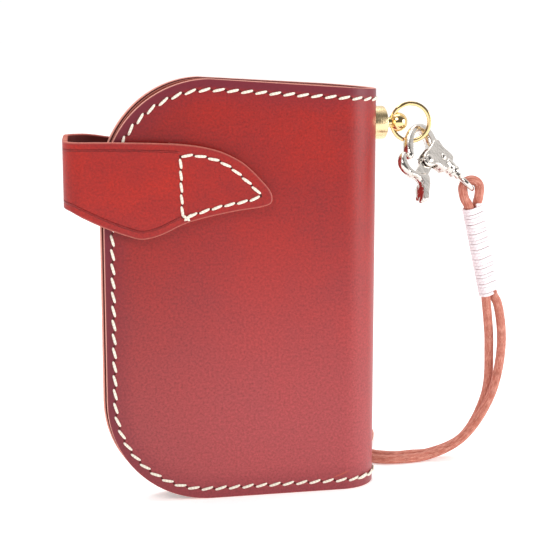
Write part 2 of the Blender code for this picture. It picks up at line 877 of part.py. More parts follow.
def clasp_frame(roll):
    """Frame of the clasp: X along it, -Z across towards the lever, Y through it."""
    turn = Matrix.Rotation(CLASP_YAW, 4, "Z") @ Matrix.Rotation(CLASP_PITCH, 4, "Y")
    rolled = turn @ Matrix.Rotation(CLASP_ROLL, 4, "X")
    heading = ring_heading()
    drop = heading * math.sin(RING_SEAT_ANGLE) - Vector((0, 0, math.cos(RING_SEAT_ANGLE)))
    seat = ring_centre() + drop * RING_RADIUS
    start = seat - rolled @ Vector((RING_SEAT_ALONG, 0, -RING_SEAT_ACROSS))
    return Matrix.Translation(start) @ turn @ Matrix.Rotation(roll, 4, "X")


def clasp_plate(shares, thickness, offset=0):
    """Flat piece of the clasp, in the clasp's own frame."""
    outline = [(u * HOOK_LENGTH, v * HOOK_WIDTH) for u, v in shares]
    flat = Matrix.Translation((0, offset, 0)) @ Matrix.Rotation(-math.pi / 2, 4, "X")
    return plate(outline, thickness, flat)


def clasp_rod(radius, along, across, reach, sides=MAGNET_SIDES):
    """Rod through the clasp, square to its flat side, in its own frame."""
    return rod(radius, (along, -reach, -across), (along, reach, -across), sides)


def set_in_clasp(obj, name, roughness, group):
    """Move a piece made in the clasp's own frame to its place."""
    obj.data.transform(clasp_frame(CLASP_ROLL))
    return finish(shade(obj), name, (NICKEL, roughness, 1.0), group)


def build_hook(group):
    """Hook with its slotted stem and the barrel that holds the eye."""
    hook = clasp_plate(HOOK_OUTLINE_SHARES, HOOK_THICKNESS)
    hook = combine(hook, clasp_plate(STEM_OUTLINE_SHARES, STEM_THICKNESS), "UNION")
    barrel_start = HOOK_LENGTH - BARREL_OVERLAP
    barrel_end = barrel_start + BARREL_LENGTH
    barrel = rod(BARREL_RADIUS, (barrel_start, 0, 0), (barrel_end, 0, 0), TURNED_STEPS)
    hook = combine(hook, barrel, "UNION")
    chamber = barrel_start + CHAMBER_INSET
    bore = turned(
        [
            (0, barrel_end + CUT_OVERRUN),
            (BARREL_BORE, barrel_end + CUT_OVERRUN),
            (BARREL_BORE, chamber + CHAMBER_LENGTH),
            (CHAMBER_RADIUS, chamber + CHAMBER_LENGTH),
            (CHAMBER_RADIUS, chamber),
            (0, chamber),
        ],
        Matrix.Rotation(math.pi / 2, 4, "Y"),
        MAGNET_SIDES,
    )
    hook = combine(hook, as_mesh(bore), "DIFFERENCE")
    slot = clasp_rod(SLOT_RADIUS, PIVOT_ALONG, PIVOT_ACROSS, SLOT_THICKNESS / 2, TURNED_STEPS)
    hook = combine(hook, slot, "DIFFERENCE")
    for along, across, radius in (
        (PIVOT_ALONG, PIVOT_ACROSS, PIN_RADIUS),
        (RIVET_ALONG, 0, RIVET_RADIUS),
    ):
        hole = clasp_rod(radius + RUNNING_GAP, along, across, STEM_THICKNESS)
        hook = combine(hook, hole, "DIFFERENCE")
    return set_in_clasp(hook, "clasp_hook", 0.15, group)


def build_lever(group):
    """Lever with its gate, thumb tab and thin arm in the stem's slot."""
    offset = TOUCH_GAP + (LEVER_ARM - SLOT_THICKNESS) / 2
    lever = clasp_plate(LEVER_SHELL_SHARES, LEVER_THICKNESS)
    lever = combine(lever, clasp_plate(LEVER_ARM_SHARES, LEVER_ARM, offset), "UNION")
    hole = clasp_rod(PIN_RADIUS + RUNNING_GAP, PIVOT_ALONG, PIVOT_ACROSS, STEM_THICKNESS)
    lever = combine(lever, hole, "DIFFERENCE")
    return set_in_clasp(lever, "clasp_lever", 0.15, group)


def build_lever_pin(group):
    """Pin that the lever turns on."""
    pin = clasp_rod(PIN_RADIUS, PIVOT_ALONG, PIVOT_ACROSS, STEM_THICKNESS / 2)
    return set_in_clasp(pin, "lever_pin", 0.3, group)


def build_rivet(group):
    """Rivet across the clasp's stem, with a flat head on each side."""
    seat = STEM_THICKNESS / 2 + TOUCH_GAP
    rivet = turned(
        [
            (0, seat + RIVET_HEAD),
            (RIVET_HEAD_RADIUS - RIVET_HEAD, seat + RIVET_HEAD),
            (RIVET_HEAD_RADIUS, seat),
            (RIVET_RADIUS, seat),
            (RIVET_RADIUS, -seat),
            (RIVET_HEAD_RADIUS, -seat),
            (RIVET_HEAD_RADIUS - RIVET_HEAD, -seat - RIVET_HEAD),
            (0, -seat - RIVET_HEAD),
        ],
        Matrix.Translation((RIVET_ALONG, 0, 0)) @ Matrix.Rotation(-math.pi / 2, 4, "X"),
        MAGNET_SIDES,
    )
    return set_in_clasp(as_mesh(rivet), "clasp_rivet", 0.25, group)


def build_lever_spring(group):
    """Bent wire beside the lever's arm, from the stem round the pin to the gate."""
    offset = (TOUCH_GAP + LEVER_ARM) / 2
    first = SPRING_HOOK_ANGLE - math.pi / 2
    last = SPRING_LEVER_ANGLE + math.pi / 2 - 2 * math.pi
    bend = [first, (first + last) / 2, last]
    flat = [(SPRING_BEND * math.cos(turn), SPRING_BEND * math.sin(turn)) for turn in bend]
    legs = [
        (x + SPRING_REACH * math.cos(turn), y + SPRING_REACH * math.sin(turn))
        for (x, y), turn in ((flat[0], SPRING_HOOK_ANGLE), (flat[-1], SPRING_LEVER_ANGLE))
    ]
    flat = [legs[0]] + flat + [legs[1]]
    path = [(PIVOT_ALONG + x, offset, -PIVOT_ACROSS - y) for x, y in flat]
    wire = as_mesh(tube([path], SPRING_WIRE, 1))
    return set_in_clasp(wire, "lever_spring", 0.3, group)


def build_eye(group):
    """Swivel eye: an oval wire loop on a stem that turns in the barrel."""
    half_width = EYE_WIDTH / 2 - EYE_WIRE
    far = EYE_END_ALONG - EYE_WIRE
    near = EYE_END_ALONG - EYE_LENGTH + EYE_WIRE
    half_turn = EYE_SIDES // 2
    loop = []
    for centre, start in ((far - half_width, -math.pi / 2), (near + half_width, math.pi / 2)):
        for i in range(half_turn + 1):
            angle = start + math.pi * i / half_turn
            loop.append((centre + half_width * math.cos(angle), half_width * math.sin(angle), 0))
    wire = as_mesh(tube([loop], EYE_WIRE, 2, cyclic=True))
    chamber = HOOK_LENGTH - BARREL_OVERLAP + CHAMBER_INSET
    head_end = chamber + CHAMBER_LENGTH - TOUCH_GAP
    stem = turned(
        [
            (0, near),
            (EYE_STEM_RADIUS, near),
            (EYE_STEM_RADIUS, head_end),
            (EYE_HEAD_RADIUS, head_end),
            (EYE_HEAD_RADIUS, chamber + TOUCH_GAP),
            (0, chamber + TOUCH_GAP),
        ],
        Matrix.Rotation(math.pi / 2, 4, "Y"),
        MAGNET_SIDES,
    )
    eye = combine(wire, as_mesh(stem), "UNION")
    eye.data.transform(clasp_frame(0))
    return finish(shade(eye), "swivel_eye", (NICKEL, 0.15, 1.0), group)


def hanging(point):
    """Route point with the cord's hanging stretch moved with the stud."""
    share = min(1.0, (point[2] - CORD_RADIUS) / (WHIP_FOOT[2] - CORD_RADIUS))
    return Vector(point) + Vector((0, 0, share * HANGING_LIFT))


def smooth_path(points, steps):
    """Centripetal curve through the points, with this many steps a stretch."""
    guides = [Vector(p) for p in points]
    guides = [guides[0] * 2 - guides[1]] + guides + [guides[-1] * 2 - guides[-2]]
    path = []
    for i in range(1, len(guides) - 2):
        a, b, c, d = guides[i - 1 : i + 3]
        ta = -math.sqrt((b - a).length)
        tc = math.sqrt((c - b).length)
        td = tc + math.sqrt((d - c).length)
        for k in range(steps):
            t = tc * k / steps
            ab = a.lerp(b, (t - ta) / -ta)
            bc = b.lerp(c, t / tc)
            cd = c.lerp(d, (t - tc) / (td - tc))
            path.append(ab.lerp(bc, (t - ta) / (tc - ta)).lerp(bc.lerp(cd, t / td), t / tc))
    path.append(guides[-2])
    return path


def build_cord(name, group):
    """Leather wrist cord along its route."""
    fine = smooth_path([hanging(point) for point in CORD_ROUTE], CORD_STEPS)
    path = [fine[0]]
    walked = 0.0
    for i in range(1, len(fine) - 1):
        piece = fine[i] - fine[i - 1]
        walked += piece.length
        bend = (fine[i + 1] - fine[i]).angle(piece)
        step = CORD_TURN * piece.length / bend if bend > 0 else CORD_STEP
        if walked >= min(max(step, CORD_BEND_STEP), CORD_STEP):
            path.append(fine[i])
            walked = 0.0
    path.append(fine[-1])
    print(f"{name}: {len(path)} points")
    cord = tube([path], CORD_RADIUS, 2)
    return finish(cord, name, (CORD_TAN, 0.7), group)


def build_whipping(name, group):
    """Thread wound round both strands in one unbroken tube."""
    top, foot = hanging(WHIP_TOP), hanging(WHIP_FOOT)
    axis = (foot - top).normalized()
    spread = Vector((math.cos(WHIP_SPREAD_YAW), math.sin(WHIP_SPREAD_YAW), 0))
    spread = (spread - axis * spread.dot(axis)).normalized()
    normal = axis.cross(spread)
    round_reach = CORD_RADIUS + TOUCH_GAP + WHIP_THREAD_RADIUS
    quarter = math.pi / 2 * round_reach
    straight = WHIP_STRAND_SPREAD
    lap = 4 * (quarter + straight)
    count = WHIP_TURNS * WHIP_POINTS
    path = []
    for i in range(count + 1):
        walk = lap * (i % WHIP_POINTS) / WHIP_POINTS
        along = (foot - top).length * i / count
        x, y = stadium(walk, round_reach, straight)
        path.append(top + axis * along + spread * x + normal * y)
    ends = 2 * WHIP_THREAD_RADIUS
    first = (path[0] - path[1]).normalized()
    last = (path[-1] - path[-2]).normalized()
    path = [path[0] + first * ends] + path + [path[-1] + last * ends]
    print(f"{name}: least gap to itself {least_gap(path, WHIP_THREAD_RADIUS) * 1000:.2f} mm")
    whip = tube([path], WHIP_THREAD_RADIUS, 1)
    return finish(whip, name, (THREAD_CREAM, 0.6), group)


def stadium(walk, reach, straight):
    """Point at a walk round two half circles joined by straight sides."""
    half = math.pi * reach
    if walk < straight:
        return walk, reach
    walk -= straight
    if walk < half:
        angle = math.pi / 2 - walk / reach
        return straight + reach * math.cos(angle), reach * math.sin(angle)
    walk -= half
    if walk < 2 * straight:
        return straight - walk, -reach
    walk -= 2 * straight
    if walk < half:
        angle = -math.pi / 2 - walk / reach
        return -straight + reach * math.cos(angle), reach * math.sin(angle)
    return -straight + walk - half, reach


def least_gap(path, radius):
    """Least gap between a tube's turns, measured on its points."""
    apart = WHIP_POINTS // 2
    least = math.inf
    for i, a in enumerate(path):
        for b in path[i + apart : i + 3 * WHIP_POINTS]:
            least = min(least, (a - b).length - 2 * radius)
    return least


def set_axis(name, place, pieces, group):
    """Parent a moving body's pieces to an empty on its joint's axis."""
    axis = bpy.data.objects.new(name, None)
    axis.location = place
    group.objects.link(axis)
    bpy.context.view_layer.update()
    for piece in pieces:
        obj = group.objects[piece]
        obj.parent = axis
        obj.matrix_parent_inverse = axis.matrix_world.inverted()


def set_axes(group):
    """Put an empty on each joint's axis for the body that moves on it."""
    fold = SPINE_RADIUS * math.cos(FOLD_ANGLE)
    clasp = clasp_frame(CLASP_ROLL)
    eye = clasp_frame(0)
    spine_pieces = ("spine_leather", "spine_lining", "spine_foot_stitches", "spine_top_stitches")
    front_pieces = ("front_cover", "front_lining", "front_card_pocket", "front_ticket_pocket")
    clasp_pieces = ("clasp_hook", "lever_pin", "clasp_rivet", "lever_spring")
    stud_pieces = ("stud_base", "stud_screw")
    set_axis("rear_fold_axis", (SPINE_CENTRE_X + fold, fold, 0), spine_pieces + stud_pieces, group)
    set_axis(
        "front_fold_axis",
        (SPINE_CENTRE_X + fold, -fold, 0),
        front_pieces + ("front_cover_stitches", "cover_magnet"),
        group,
    )
    tongue_pieces = ("strap_tongue", "strap_backing", "strap_magnet", "tongue_stitches")
    set_axis("strap_axis", (LOOP_END_X, 0, TONGUE_FOOT), tongue_pieces, group)
    set_axis("post_axis", (LEATHER / 2, 0, STUD_HEIGHT), ("ball_post",), group)
    set_axis("ring_axis", (RING_HOLE_REACH, 0, STUD_HEIGHT), ("split_ring",), group)
    set_axis("clasp_axis", clasp @ Vector((RING_SEAT_ALONG, 0, -RING_SEAT_ACROSS)), clasp_pieces, group)
    set_axis("lever_axis", clasp @ Vector((PIVOT_ALONG, 0, -PIVOT_ACROSS)), ("clasp_lever",), group)
    set_axis("eye_axis", clasp.translation, ("swivel_eye",), group)
    far_bar = eye @ Vector((EYE_END_ALONG - EYE_WIRE, 0, 0))
    set_axis("cord_axis", far_bar, ("wrist_cord", "cord_whipping"), group)


def build_wallet():
    """Build every piece of the wallet in its collection."""
    clear_scene()
    group = new_collection("keychain_wallet")
    build_cover("rear_cover", 1, group)
    build_cover("front_cover", -1, group)
    build_spine("spine_leather", 0, LEATHER, 0, (LEATHER_RED, 0.4), group)
    build_lining("rear_lining", 1, group)
    build_lining("front_lining", -1, group)
    build_spine("spine_lining", LINING_DEPTH, LINING, LINING_INSET, (LINING_RED, 0.6), group)
    tall = (TALL_POCKET_RUN, TALL_POCKET_WIDTH, TALL_POCKET_HEIGHT)
    short = (SHORT_POCKET_RUN, SHORT_POCKET_WIDTH, SHORT_POCKET_HEIGHT)
    build_pocket("rear_card_pocket", 1, 0, *tall, group)
    build_pocket("rear_ticket_pocket", 1, 1, *short, group)
    build_pocket("front_card_pocket", -1, 0, *tall, group)
    build_pocket("front_ticket_pocket", -1, 1, *short, group)
    build_cover_stitches("rear_cover_stitches", 1, group)
    build_cover_stitches("front_cover_stitches", -1, group)
    build_spine_stitches("spine_foot_stitches", SEAM_INSET, group)
    build_spine_stitches("spine_top_stitches", top_height(0) - SEAM_INSET, group)
    build_strap_leaf("strap_anchor", ANCHOR_OUTLINE_SHARES, ANCHOR_LENGTH, 1, group)
    build_strap_leaf("strap_tongue", TONGUE_OUTLINE_SHARES, TONGUE_LENGTH, -1, group)
    build_strap_backing("anchor_backing", ANCHOR_OUTLINE_SHARES, ANCHOR_LENGTH, 1, group)
    build_strap_backing("strap_backing", TONGUE_OUTLINE_SHARES, TONGUE_LENGTH, -1, group)
    build_magnets(group)
    build_strap_stitches("tongue_stitches", TIP_SEAM_SHARES, TONGUE_LENGTH, -1, group)
    build_strap_stitches("anchor_stitches", ANCHOR_SEAM_SHARES, ANCHOR_LENGTH, 1, group)
    build_stud(group)
    build_ring(group)
    build_hook(group)
    build_lever(group)
    build_lever_pin(group)
    build_lever_spring(group)
    build_rivet(group)
    build_eye(group)
    build_cord("wrist_cord", group)
    build_whipping("cord_whipping", group)
    set_axes(group)


build_wallet()
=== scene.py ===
"""Red leather wallet with a closing strap and a wrist cord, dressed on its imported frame.

The wallet stands closed on its lower edge. +X points out of the spine, -Y out of the front cover
and +Z up, in metres. A run is a distance along the leather's outside from the open edge, a depth
goes inwards from that outside, and a side is -1 on the front cover and 1 on the rear one.
"""

import sys
import logging
import math
from dataclasses import dataclass, field
from enum import Enum
from functools import partial
from typing import Callable, Optional, Sequence, Union

import bpy
import numpy as np
from mathutils import Matrix, Vector


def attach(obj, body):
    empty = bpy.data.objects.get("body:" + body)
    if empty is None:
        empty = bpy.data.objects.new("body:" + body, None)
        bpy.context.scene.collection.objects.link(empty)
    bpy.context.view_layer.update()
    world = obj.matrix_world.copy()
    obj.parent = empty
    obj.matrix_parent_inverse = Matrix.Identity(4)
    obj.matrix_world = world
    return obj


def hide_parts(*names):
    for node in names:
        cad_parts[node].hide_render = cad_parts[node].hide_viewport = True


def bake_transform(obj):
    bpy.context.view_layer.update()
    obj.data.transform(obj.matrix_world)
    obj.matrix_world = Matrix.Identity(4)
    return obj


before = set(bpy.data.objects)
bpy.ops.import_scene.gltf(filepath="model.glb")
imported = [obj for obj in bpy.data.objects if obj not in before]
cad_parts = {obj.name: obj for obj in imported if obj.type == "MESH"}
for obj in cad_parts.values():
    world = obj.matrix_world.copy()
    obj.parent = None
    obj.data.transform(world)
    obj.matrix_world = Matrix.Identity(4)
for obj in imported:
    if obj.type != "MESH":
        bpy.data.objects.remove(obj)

LOG = logging.getLogger("wallet")
MM = 0.001
UV_SPAN = 0.1
TINY = 1e-9
Array = np.ndarray
Object, Material, Socket = bpy.types.Object, bpy.types.Material, bpy.types.NodeSocket
Bend = Callable[[Array, Array], tuple]


class Body(Enum):
    """The moving bodies of the frame."""

    REAR = "rear"
    SPINE = "spine"
    FRONT = "front"
    STRAP = "strap"
    POST = "post"
    RING = "ring"
    CLASP = "clasp"
    LEVER = "lever"
    EYE = "eye"
    LANYARD = "lanyard"


class Side(Enum):
    """The two covers, as the sign of Y."""

    FRONT = -1
    REAR = 1

    @property
    def body(self) -> Body:
        """The cover's own body."""
        return Body[self.name]


# Meshes


def grid_faces(rows: int, columns: int, wrap: bool = False) -> Array:
    """Quads between neighbouring points of a grid that is stored row by row.

    Args:
        rows: number of rows.
        columns: number of points in a row.
        wrap: whether each row closes on itself.

    Returns:
        Point numbers, four to a face.
    """
    across = columns if wrap else columns - 1
    i, j = np.meshgrid(np.arange(rows - 1), np.arange(across), indexing="ij")
    nearer, further = i * columns, (i + 1) * columns
    after = (j + 1) % columns
    return np.stack([nearer + j, nearer + after, further + after, further + j], -1).reshape(-1, 4)


def strip_faces(first: Array, second: Array, wrap: bool = True) -> Array:
    """Quads between two rows of point numbers of the same length."""
    if wrap:
        first, second = np.append(first, first[0]), np.append(second, second[0])
    return np.stack([first[:-1], first[1:], second[1:], second[:-1]], -1)


def fan_faces(ring: Array, pole: int) -> Array:
    """Triangles from a closed row of point numbers to one point."""
    return np.stack([ring, np.roll(ring, -1), np.full(len(ring), pole)], -1)


def ring_faces(rows: int, columns: int, capped: bool) -> list:
    """Faces between closed rings of points, from the first ring to the last.

    Args:
        rows: number of rings.
        columns: number of points in a ring.
        capped: whether two poles, numbered after all rings, close the ends. Otherwise the last
            ring goes back to the first.

    Returns:
        Arrays of point numbers.
    """
    count, first = rows * columns, np.arange(columns)
    last = first + count - columns
    walls = grid_faces(rows, columns, wrap=True)
    if capped:
        return [walls, fan_faces(first[::-1], count), fan_faces(last, count + 1)]
    return [walls, strip_faces(last, first)]


def linked(name: str, data: bpy.types.ID) -> Object:
    """A new object of a mesh, light or camera, in the scene.

    Args:
        name: name for the object.
        data: what it shows.

    Returns:
        The object.
    """
    obj = bpy.data.objects.new(name, data)
    bpy.context.scene.collection.objects.link(obj)
    return obj


def new_piece(
    name: str,
    points: Array,
    faces: Sequence[Array],
    uv: Optional[Array] = None,
    fields: Optional[dict] = None,
    sharp: float = 40.0,
) -> Object:
    """Makes a smooth mesh object whose closed surface faces outwards.

    The side that a face points to is told by the sign of the volume that all faces enclose, which
    is a sixth of the sum of each triangle's triple product.

    Args:
        name: the object's name.
        points: places of the points, three to a row.
        faces: arrays of point numbers, of three or four to a face.
        uv: two surface coordinates for each point.
        fields: values for each point, by the attribute's name.
        sharp: angle in degrees past which an edge stays sharp.

    Returns:
        The object, at the origin.
    """
    tris = [f if f.shape[1] == 3 else np.concatenate([f[:, :3], f[:, [0, 2, 3]]]) for f in faces]
    a, b, c = (points[np.concatenate(tris)][:, k] for k in range(3))
    if np.einsum("ij,ij->", a - points.mean(0), np.cross(b - a, c - a)) < 0:
        faces = [f[:, ::-1] for f in faces]
    mesh = bpy.data.meshes.new(name)
    mesh.from_pydata(points.tolist(), [], [face for f in faces for face in f.tolist()])
    corners = np.zeros(len(mesh.loops), np.int32)
    mesh.loops.foreach_get("vertex_index", corners)
    if uv is not None:
        layer = mesh.uv_layers.new(name="surface")
        layer.data.foreach_set("uv", uv[corners].astype(np.float32).ravel())
    for key, values in (fields or {}).items():
        made = mesh.attributes.new(key, "FLOAT", "POINT")
        made.data.foreach_set("value", np.asarray(values, np.float32))
    mesh.validate()
    mesh.shade_smooth()
    mesh.set_sharp_from_angle(angle=math.radians(sharp))
    return linked(name, mesh)


def joined(parts: Sequence[tuple]) -> tuple:
    """Puts several closed surfaces into one.

    Args:
        parts: points, list of faces and surface coordinates of each.

    Returns:
        The same three for all of them together.
    """
    points, faces, uv, start = [], [], [], 0
    for place, some, flat in parts:
        points.append(place)
        uv.append(flat)
        faces += [f + start for f in some]
        start += len(place)
    return np.concatenate(points), faces, np.concatenate(uv)


def smooth_curve(points: Array, steps: int, closed: bool = False) -> Array:
    """Centripetal curve through all points.

    Each stretch blends straight lines between four neighbouring points, with a parameter that
    grows with the square root of the distance between them.

    Args:
        points: the points that the curve passes, in any number of dimensions.
        steps: number of steps in each stretch.
        closed: whether it goes back to its first point.

    Returns:
        The curve's points.
    """
    p = np.asarray(points, float)
    ends = (p[-1:], p[:2]) if closed else (2 * p[:1] - p[1:2], 2 * p[-1:] - p[-2:-1])
    g = np.concatenate([ends[0], p, ends[1]])
    a, b, c, d = g[:-3, None], g[1:-2, None], g[2:-1, None], g[3:, None]
    ta = -np.sqrt(np.linalg.norm(b - a, axis=-1, keepdims=True))
    tc = np.sqrt(np.linalg.norm(c - b, axis=-1, keepdims=True))
    td = tc + np.sqrt(np.linalg.norm(d - c, axis=-1, keepdims=True))
    t = tc * (np.arange(steps) / steps)[None, :, None]
    ab = a + (b - a) * (t - ta) / -ta
    bc = b + (c - b) * t / tc
    cd = c + (d - c) * (t - tc) / (td - tc)
    early = ab + (bc - ab) * (t - ta) / (tc - ta)
    late = bc + (cd - bc) * t / td
    curve = (early + (late - early) * t / tc).reshape(-1, p.shape[1])
    return curve if closed else np.concatenate([curve, p[-1:]])


def unit(vectors: Array) -> Array:
    """The same directions with a length of one."""
    return vectors / np.maximum(np.linalg.norm(vectors, axis=-1, keepdims=True), TINY)


def inwards(loop: Array) -> Array:
    """Directions square to a closed flat outline, inwards if it runs anticlockwise."""
    ahead = np.roll(loop, -1, 0) - np.roll(loop, 1, 0)
    return unit(np.stack([-ahead[:, 1], ahead[:, 0]], -1))


def lengths(path: Array) -> Array:
    """Distance along a path at each of its points."""
    return np.concatenate([[0], np.cumsum(np.linalg.norm(np.diff(path, axis=0), axis=1))])


def evenly(path: Array, count: int) -> Array:
    """Points at even distances along a path, both ends included.

    Args:
        path: the path's points.
        count: how many points to give.

    Returns:
        The points.
    """
    walked = lengths(path)
    at = np.linspace(0, walked[-1], count)
    return np.stack([np.interp(at, walked, path[:, k]) for k in range(path.shape[1])], -1)


def edge_distance(points: Array, edge: Array) -> Array:
    """Least distance from flat points to a flat edge line.

    For each point and each stretch of the edge, the nearest place is the point's projection on
    the stretch, kept between its ends.

    Args:
        points: flat places, two to a row.
        edge: the edge's points in order.

    Returns:
        One distance for each point.
    """
    a, along = edge[:-1], np.diff(edge, axis=0)
    size = np.maximum((along**2).sum(1), 1e-14)
    out = []
    for some in np.array_split(points, max(1, len(points) // 4000)):
        away = some[:, None] - a[None]
        share = np.clip((away * along).sum(-1) / size, 0, 1)
        out.append(np.linalg.norm(away - share[..., None] * along, axis=-1).min(1))
    return np.concatenate(out)


def carried(path: Array, closed: bool = False) -> tuple:
    """Frames that a path carries along itself without twisting.

    Each step reflects the last frame in the plane between two neighbouring points, and then once
    more so that it fits the new direction.

    Args:
        path: the path's points.
        closed: whether it goes back to its first point.

    Returns:
        The side and the upward direction at each point.
    """
    along = unit(np.roll(path, -1, 0) - np.roll(path, 1, 0) if closed else np.gradient(path, axis=0))
    guide = np.eye(3)[np.abs(along[0]).argmin()]
    sides = [unit(guide - along[0] * (guide @ along[0]))]
    for k in range(len(path) - 1):
        step = path[k + 1] - path[k]
        size = step @ step
        turned = sides[-1] - step * (2 * (step @ sides[-1]) / size)
        ahead = along[k] - step * (2 * (step @ along[k]) / size)
        fix = along[k + 1] - ahead
        amount = fix @ fix
        sides.append(turned if amount < TINY**2 else turned - fix * (2 * (fix @ turned) / amount))
    sides = np.array(sides)
    return sides, np.cross(along, sides)


def tube(
    path: Array,
    sides: Array,
    ups: Array,
    section: Array,
    closed: bool = False,
    walked: Optional[Array] = None,
) -> tuple:
    """Sets a closed section across each point of a path.

    A point is the path's point plus the side times the section's first number and the upward
    direction times its second.

    Args:
        path: the path's points.
        sides: the side direction at each.
        ups: the upward direction at each.
        section: the section's points, two to a row.
        closed: whether the path goes back to its first point. Otherwise its ends are capped.
        walked: distance along at each point, if it isn't to be measured on the path.

    Returns:
        Points, faces and surface coordinates, which are the distance along and the share round.
    """
    ring = sides[:, None] * section[None, :, :1] + ups[:, None] * section[None, :, 1:]
    points = (path[:, None] + ring).reshape(-1, 3)
    rows, columns = len(path), len(section)
    walked = lengths(path) if walked is None else walked
    around = np.abs(2 * np.arange(columns) / columns - 1)
    uv = np.stack([np.repeat(walked, columns) / UV_SPAN, np.tile(around, rows)], -1)
    if not closed:
        points = np.concatenate([points, path[:1], path[-1:]])
        uv = np.concatenate([uv, uv[:1], uv[-1:]])
    return points, ring_faces(rows, columns, not closed), uv


def swept(path: Array, section: Array, closed: bool = False) -> tuple:
    """Carries a closed section along a path without twisting it, as tube() sets it."""
    return tube(path, *carried(path, closed), section, closed)


def round_section(radius: float, count: int, flat: float = 1.0, power: float = 2.0) -> Array:
    """Closed section whose two numbers, raised to the power, add up to one.

    Args:
        radius: half of its width.
        count: number of points.
        flat: its height as a share of its width.
        power: two for an ellipse, more for a rounder box.

    Returns:
        The section's points.
    """
    turn = np.linspace(0, 2 * np.pi, count, endpoint=False)
    x, y = np.cos(turn), np.sin(turn)
    x, y = (np.sign(v) * np.abs(v) ** (2 / power) for v in (x, y))
    return np.stack([radius * x, radius * flat * y], -1)


def lathed(profile: Sequence, steps: int, place: Matrix, rounding: float = 0.0) -> tuple:
    """Turns a profile of radii and heights about the place's Z axis.

    A corner of the profile is replaced by a short curve that starts and ends one rounding away
    from it, as a quadratic blend of the two ends and the corner.

    Args:
        profile: radius and height of each corner, from the axis to the axis or closed on itself.
        steps: number of steps round.
        place: where the axis stands.
        rounding: distance from a corner at which its curve starts.

    Returns:
        Points, faces and surface coordinates.
    """
    p = np.array(profile, float)
    on_axis = p[0, 0] == 0
    if rounding:
        before, after = np.roll(p, 1, 0), np.roll(p, -1, 0)
        share = np.linspace(0, 1, 5)[:, None]
        rows = []
        for k, corner in enumerate(p):
            if on_axis and k in (0, len(p) - 1):
                rows.append(corner[None])
                continue
            back, ahead = before[k] - corner, after[k] - corner
            reach = min(rounding, 0.45 * np.linalg.norm(back), 0.45 * np.linalg.norm(ahead))
            a = corner + back / np.linalg.norm(back) * reach
            b = corner + ahead / np.linalg.norm(ahead) * reach
            rows.append((1 - share) ** 2 * a + 2 * share * (1 - share) * corner + share**2 * b)
        p = np.concatenate(rows)
    body = p[1:-1] if on_axis else p
    turn = np.linspace(0, 2 * np.pi, steps, endpoint=False)
    x, y = body[:, :1] * np.cos(turn), body[:, :1] * np.sin(turn)
    z = np.broadcast_to(body[:, 1:], x.shape)
    points = np.stack([x, y, z], -1).reshape(-1, 3)
    uv = np.stack([np.tile(np.arange(steps) / steps, len(body)), points[:, 2] / UV_SPAN], -1)
    if on_axis:
        points = np.concatenate([points, [[0, 0, p[0, 1]], [0, 0, p[-1, 1]]]])
        uv = np.concatenate([uv, uv[:1], uv[-1:]])
    turned = np.array(place.to_3x3()) @ points.T
    return turned.T + np.array(place.translation), ring_faces(len(body), steps, on_axis), uv


def rod(radius: float, top: float, foot: float) -> tuple:
    """Profile of a plain round rod, as a tool to cut with."""
    return (0.0, top), (radius, top), (radius, foot), (0.0, foot)


def weld(parts: Sequence[Object], name: str, grain: float, rounds: int) -> Object:
    """Fuses overlapping solids into one cast body with soft edges.

    The body is remeshed into small cubes' surface and each point is then drawn to the mean of its
    neighbours, over and over, which rounds every edge by a few cubes.

    Args:
        parts: the overlapping solids, which are used up.
        name: name of the new object.
        grain: size of a cube.
        rounds: how often the points are drawn in.

    Returns:
        The cast body.
    """
    with bpy.context.temp_override(active_object=parts[0], selected_editable_objects=list(parts)):
        bpy.ops.object.join()
    body = parts[0]
    body.name = body.data.name = name
    cubes = body.modifiers.new("cast", "REMESH")
    cubes.mode, cubes.voxel_size = "VOXEL", grain
    soft = body.modifiers.new("tumbled", "SMOOTH")
    soft.factor, soft.iterations = 0.5, rounds
    return applied(body)


def applied(obj: Object) -> Object:
    """Makes an object's mesh what its modifiers show, and drops them.

    Args:
        obj: the object.

    Returns:
        The same object.
    """
    bpy.context.view_layer.update()
    graph = bpy.context.evaluated_depsgraph_get()
    mesh = bpy.data.meshes.new_from_object(obj.evaluated_get(graph))
    obj.modifiers.clear()
    obj.data = mesh
    mesh.shade_smooth()
    return obj


def cut_away(obj: Object, tool: Object) -> Object:
    """Cuts one solid out of another and removes the tool.

    Args:
        obj: the solid to cut.
        tool: the solid that is taken away from it.

    Returns:
        The first object.
    """
    step = obj.modifiers.new("cut", "BOOLEAN")
    step.operation, step.solver, step.object = "DIFFERENCE", "EXACT", tool
    applied(obj)
    bpy.data.objects.remove(tool, do_unlink=True)
    obj.data.set_sharp_from_angle(angle=math.radians(35))
    return obj


# Finishes

COLOURS = {"output": 2, "data_type": "RGBA"}
EASED = {"interpolation_type": "SMOOTHSTEP"}


def linear(code: str) -> tuple:
    """Colour for a shader from its sRGB hex code.

    Args:
        code: six hex digits.

    Returns:
        Linear red, green and blue, and one for opacity.
    """
    parts = np.array([int(code[k : k + 2], 16) for k in (0, 2, 4)]) / 255
    parts = np.where(parts <= 0.04045, parts / 12.92, ((parts + 0.055) / 1.055) ** 2.4)
    return (*parts.tolist(), 1.0)


def fill(node: bpy.types.Node, inputs: dict) -> None:
    """Gives a node's inputs, by name or number, their values or their links to other nodes.

    Args:
        node: the node.
        inputs: a value, a colour's hex code or another node's output for each input.
    """
    for key, value in inputs.items():
        socket = node.inputs[key]
        if isinstance(value, Socket):
            node.id_data.links.new(value, socket)
        elif isinstance(value, str):
            socket.default_value = linear(value)[: len(socket.default_value)]
        else:
            socket.default_value = value


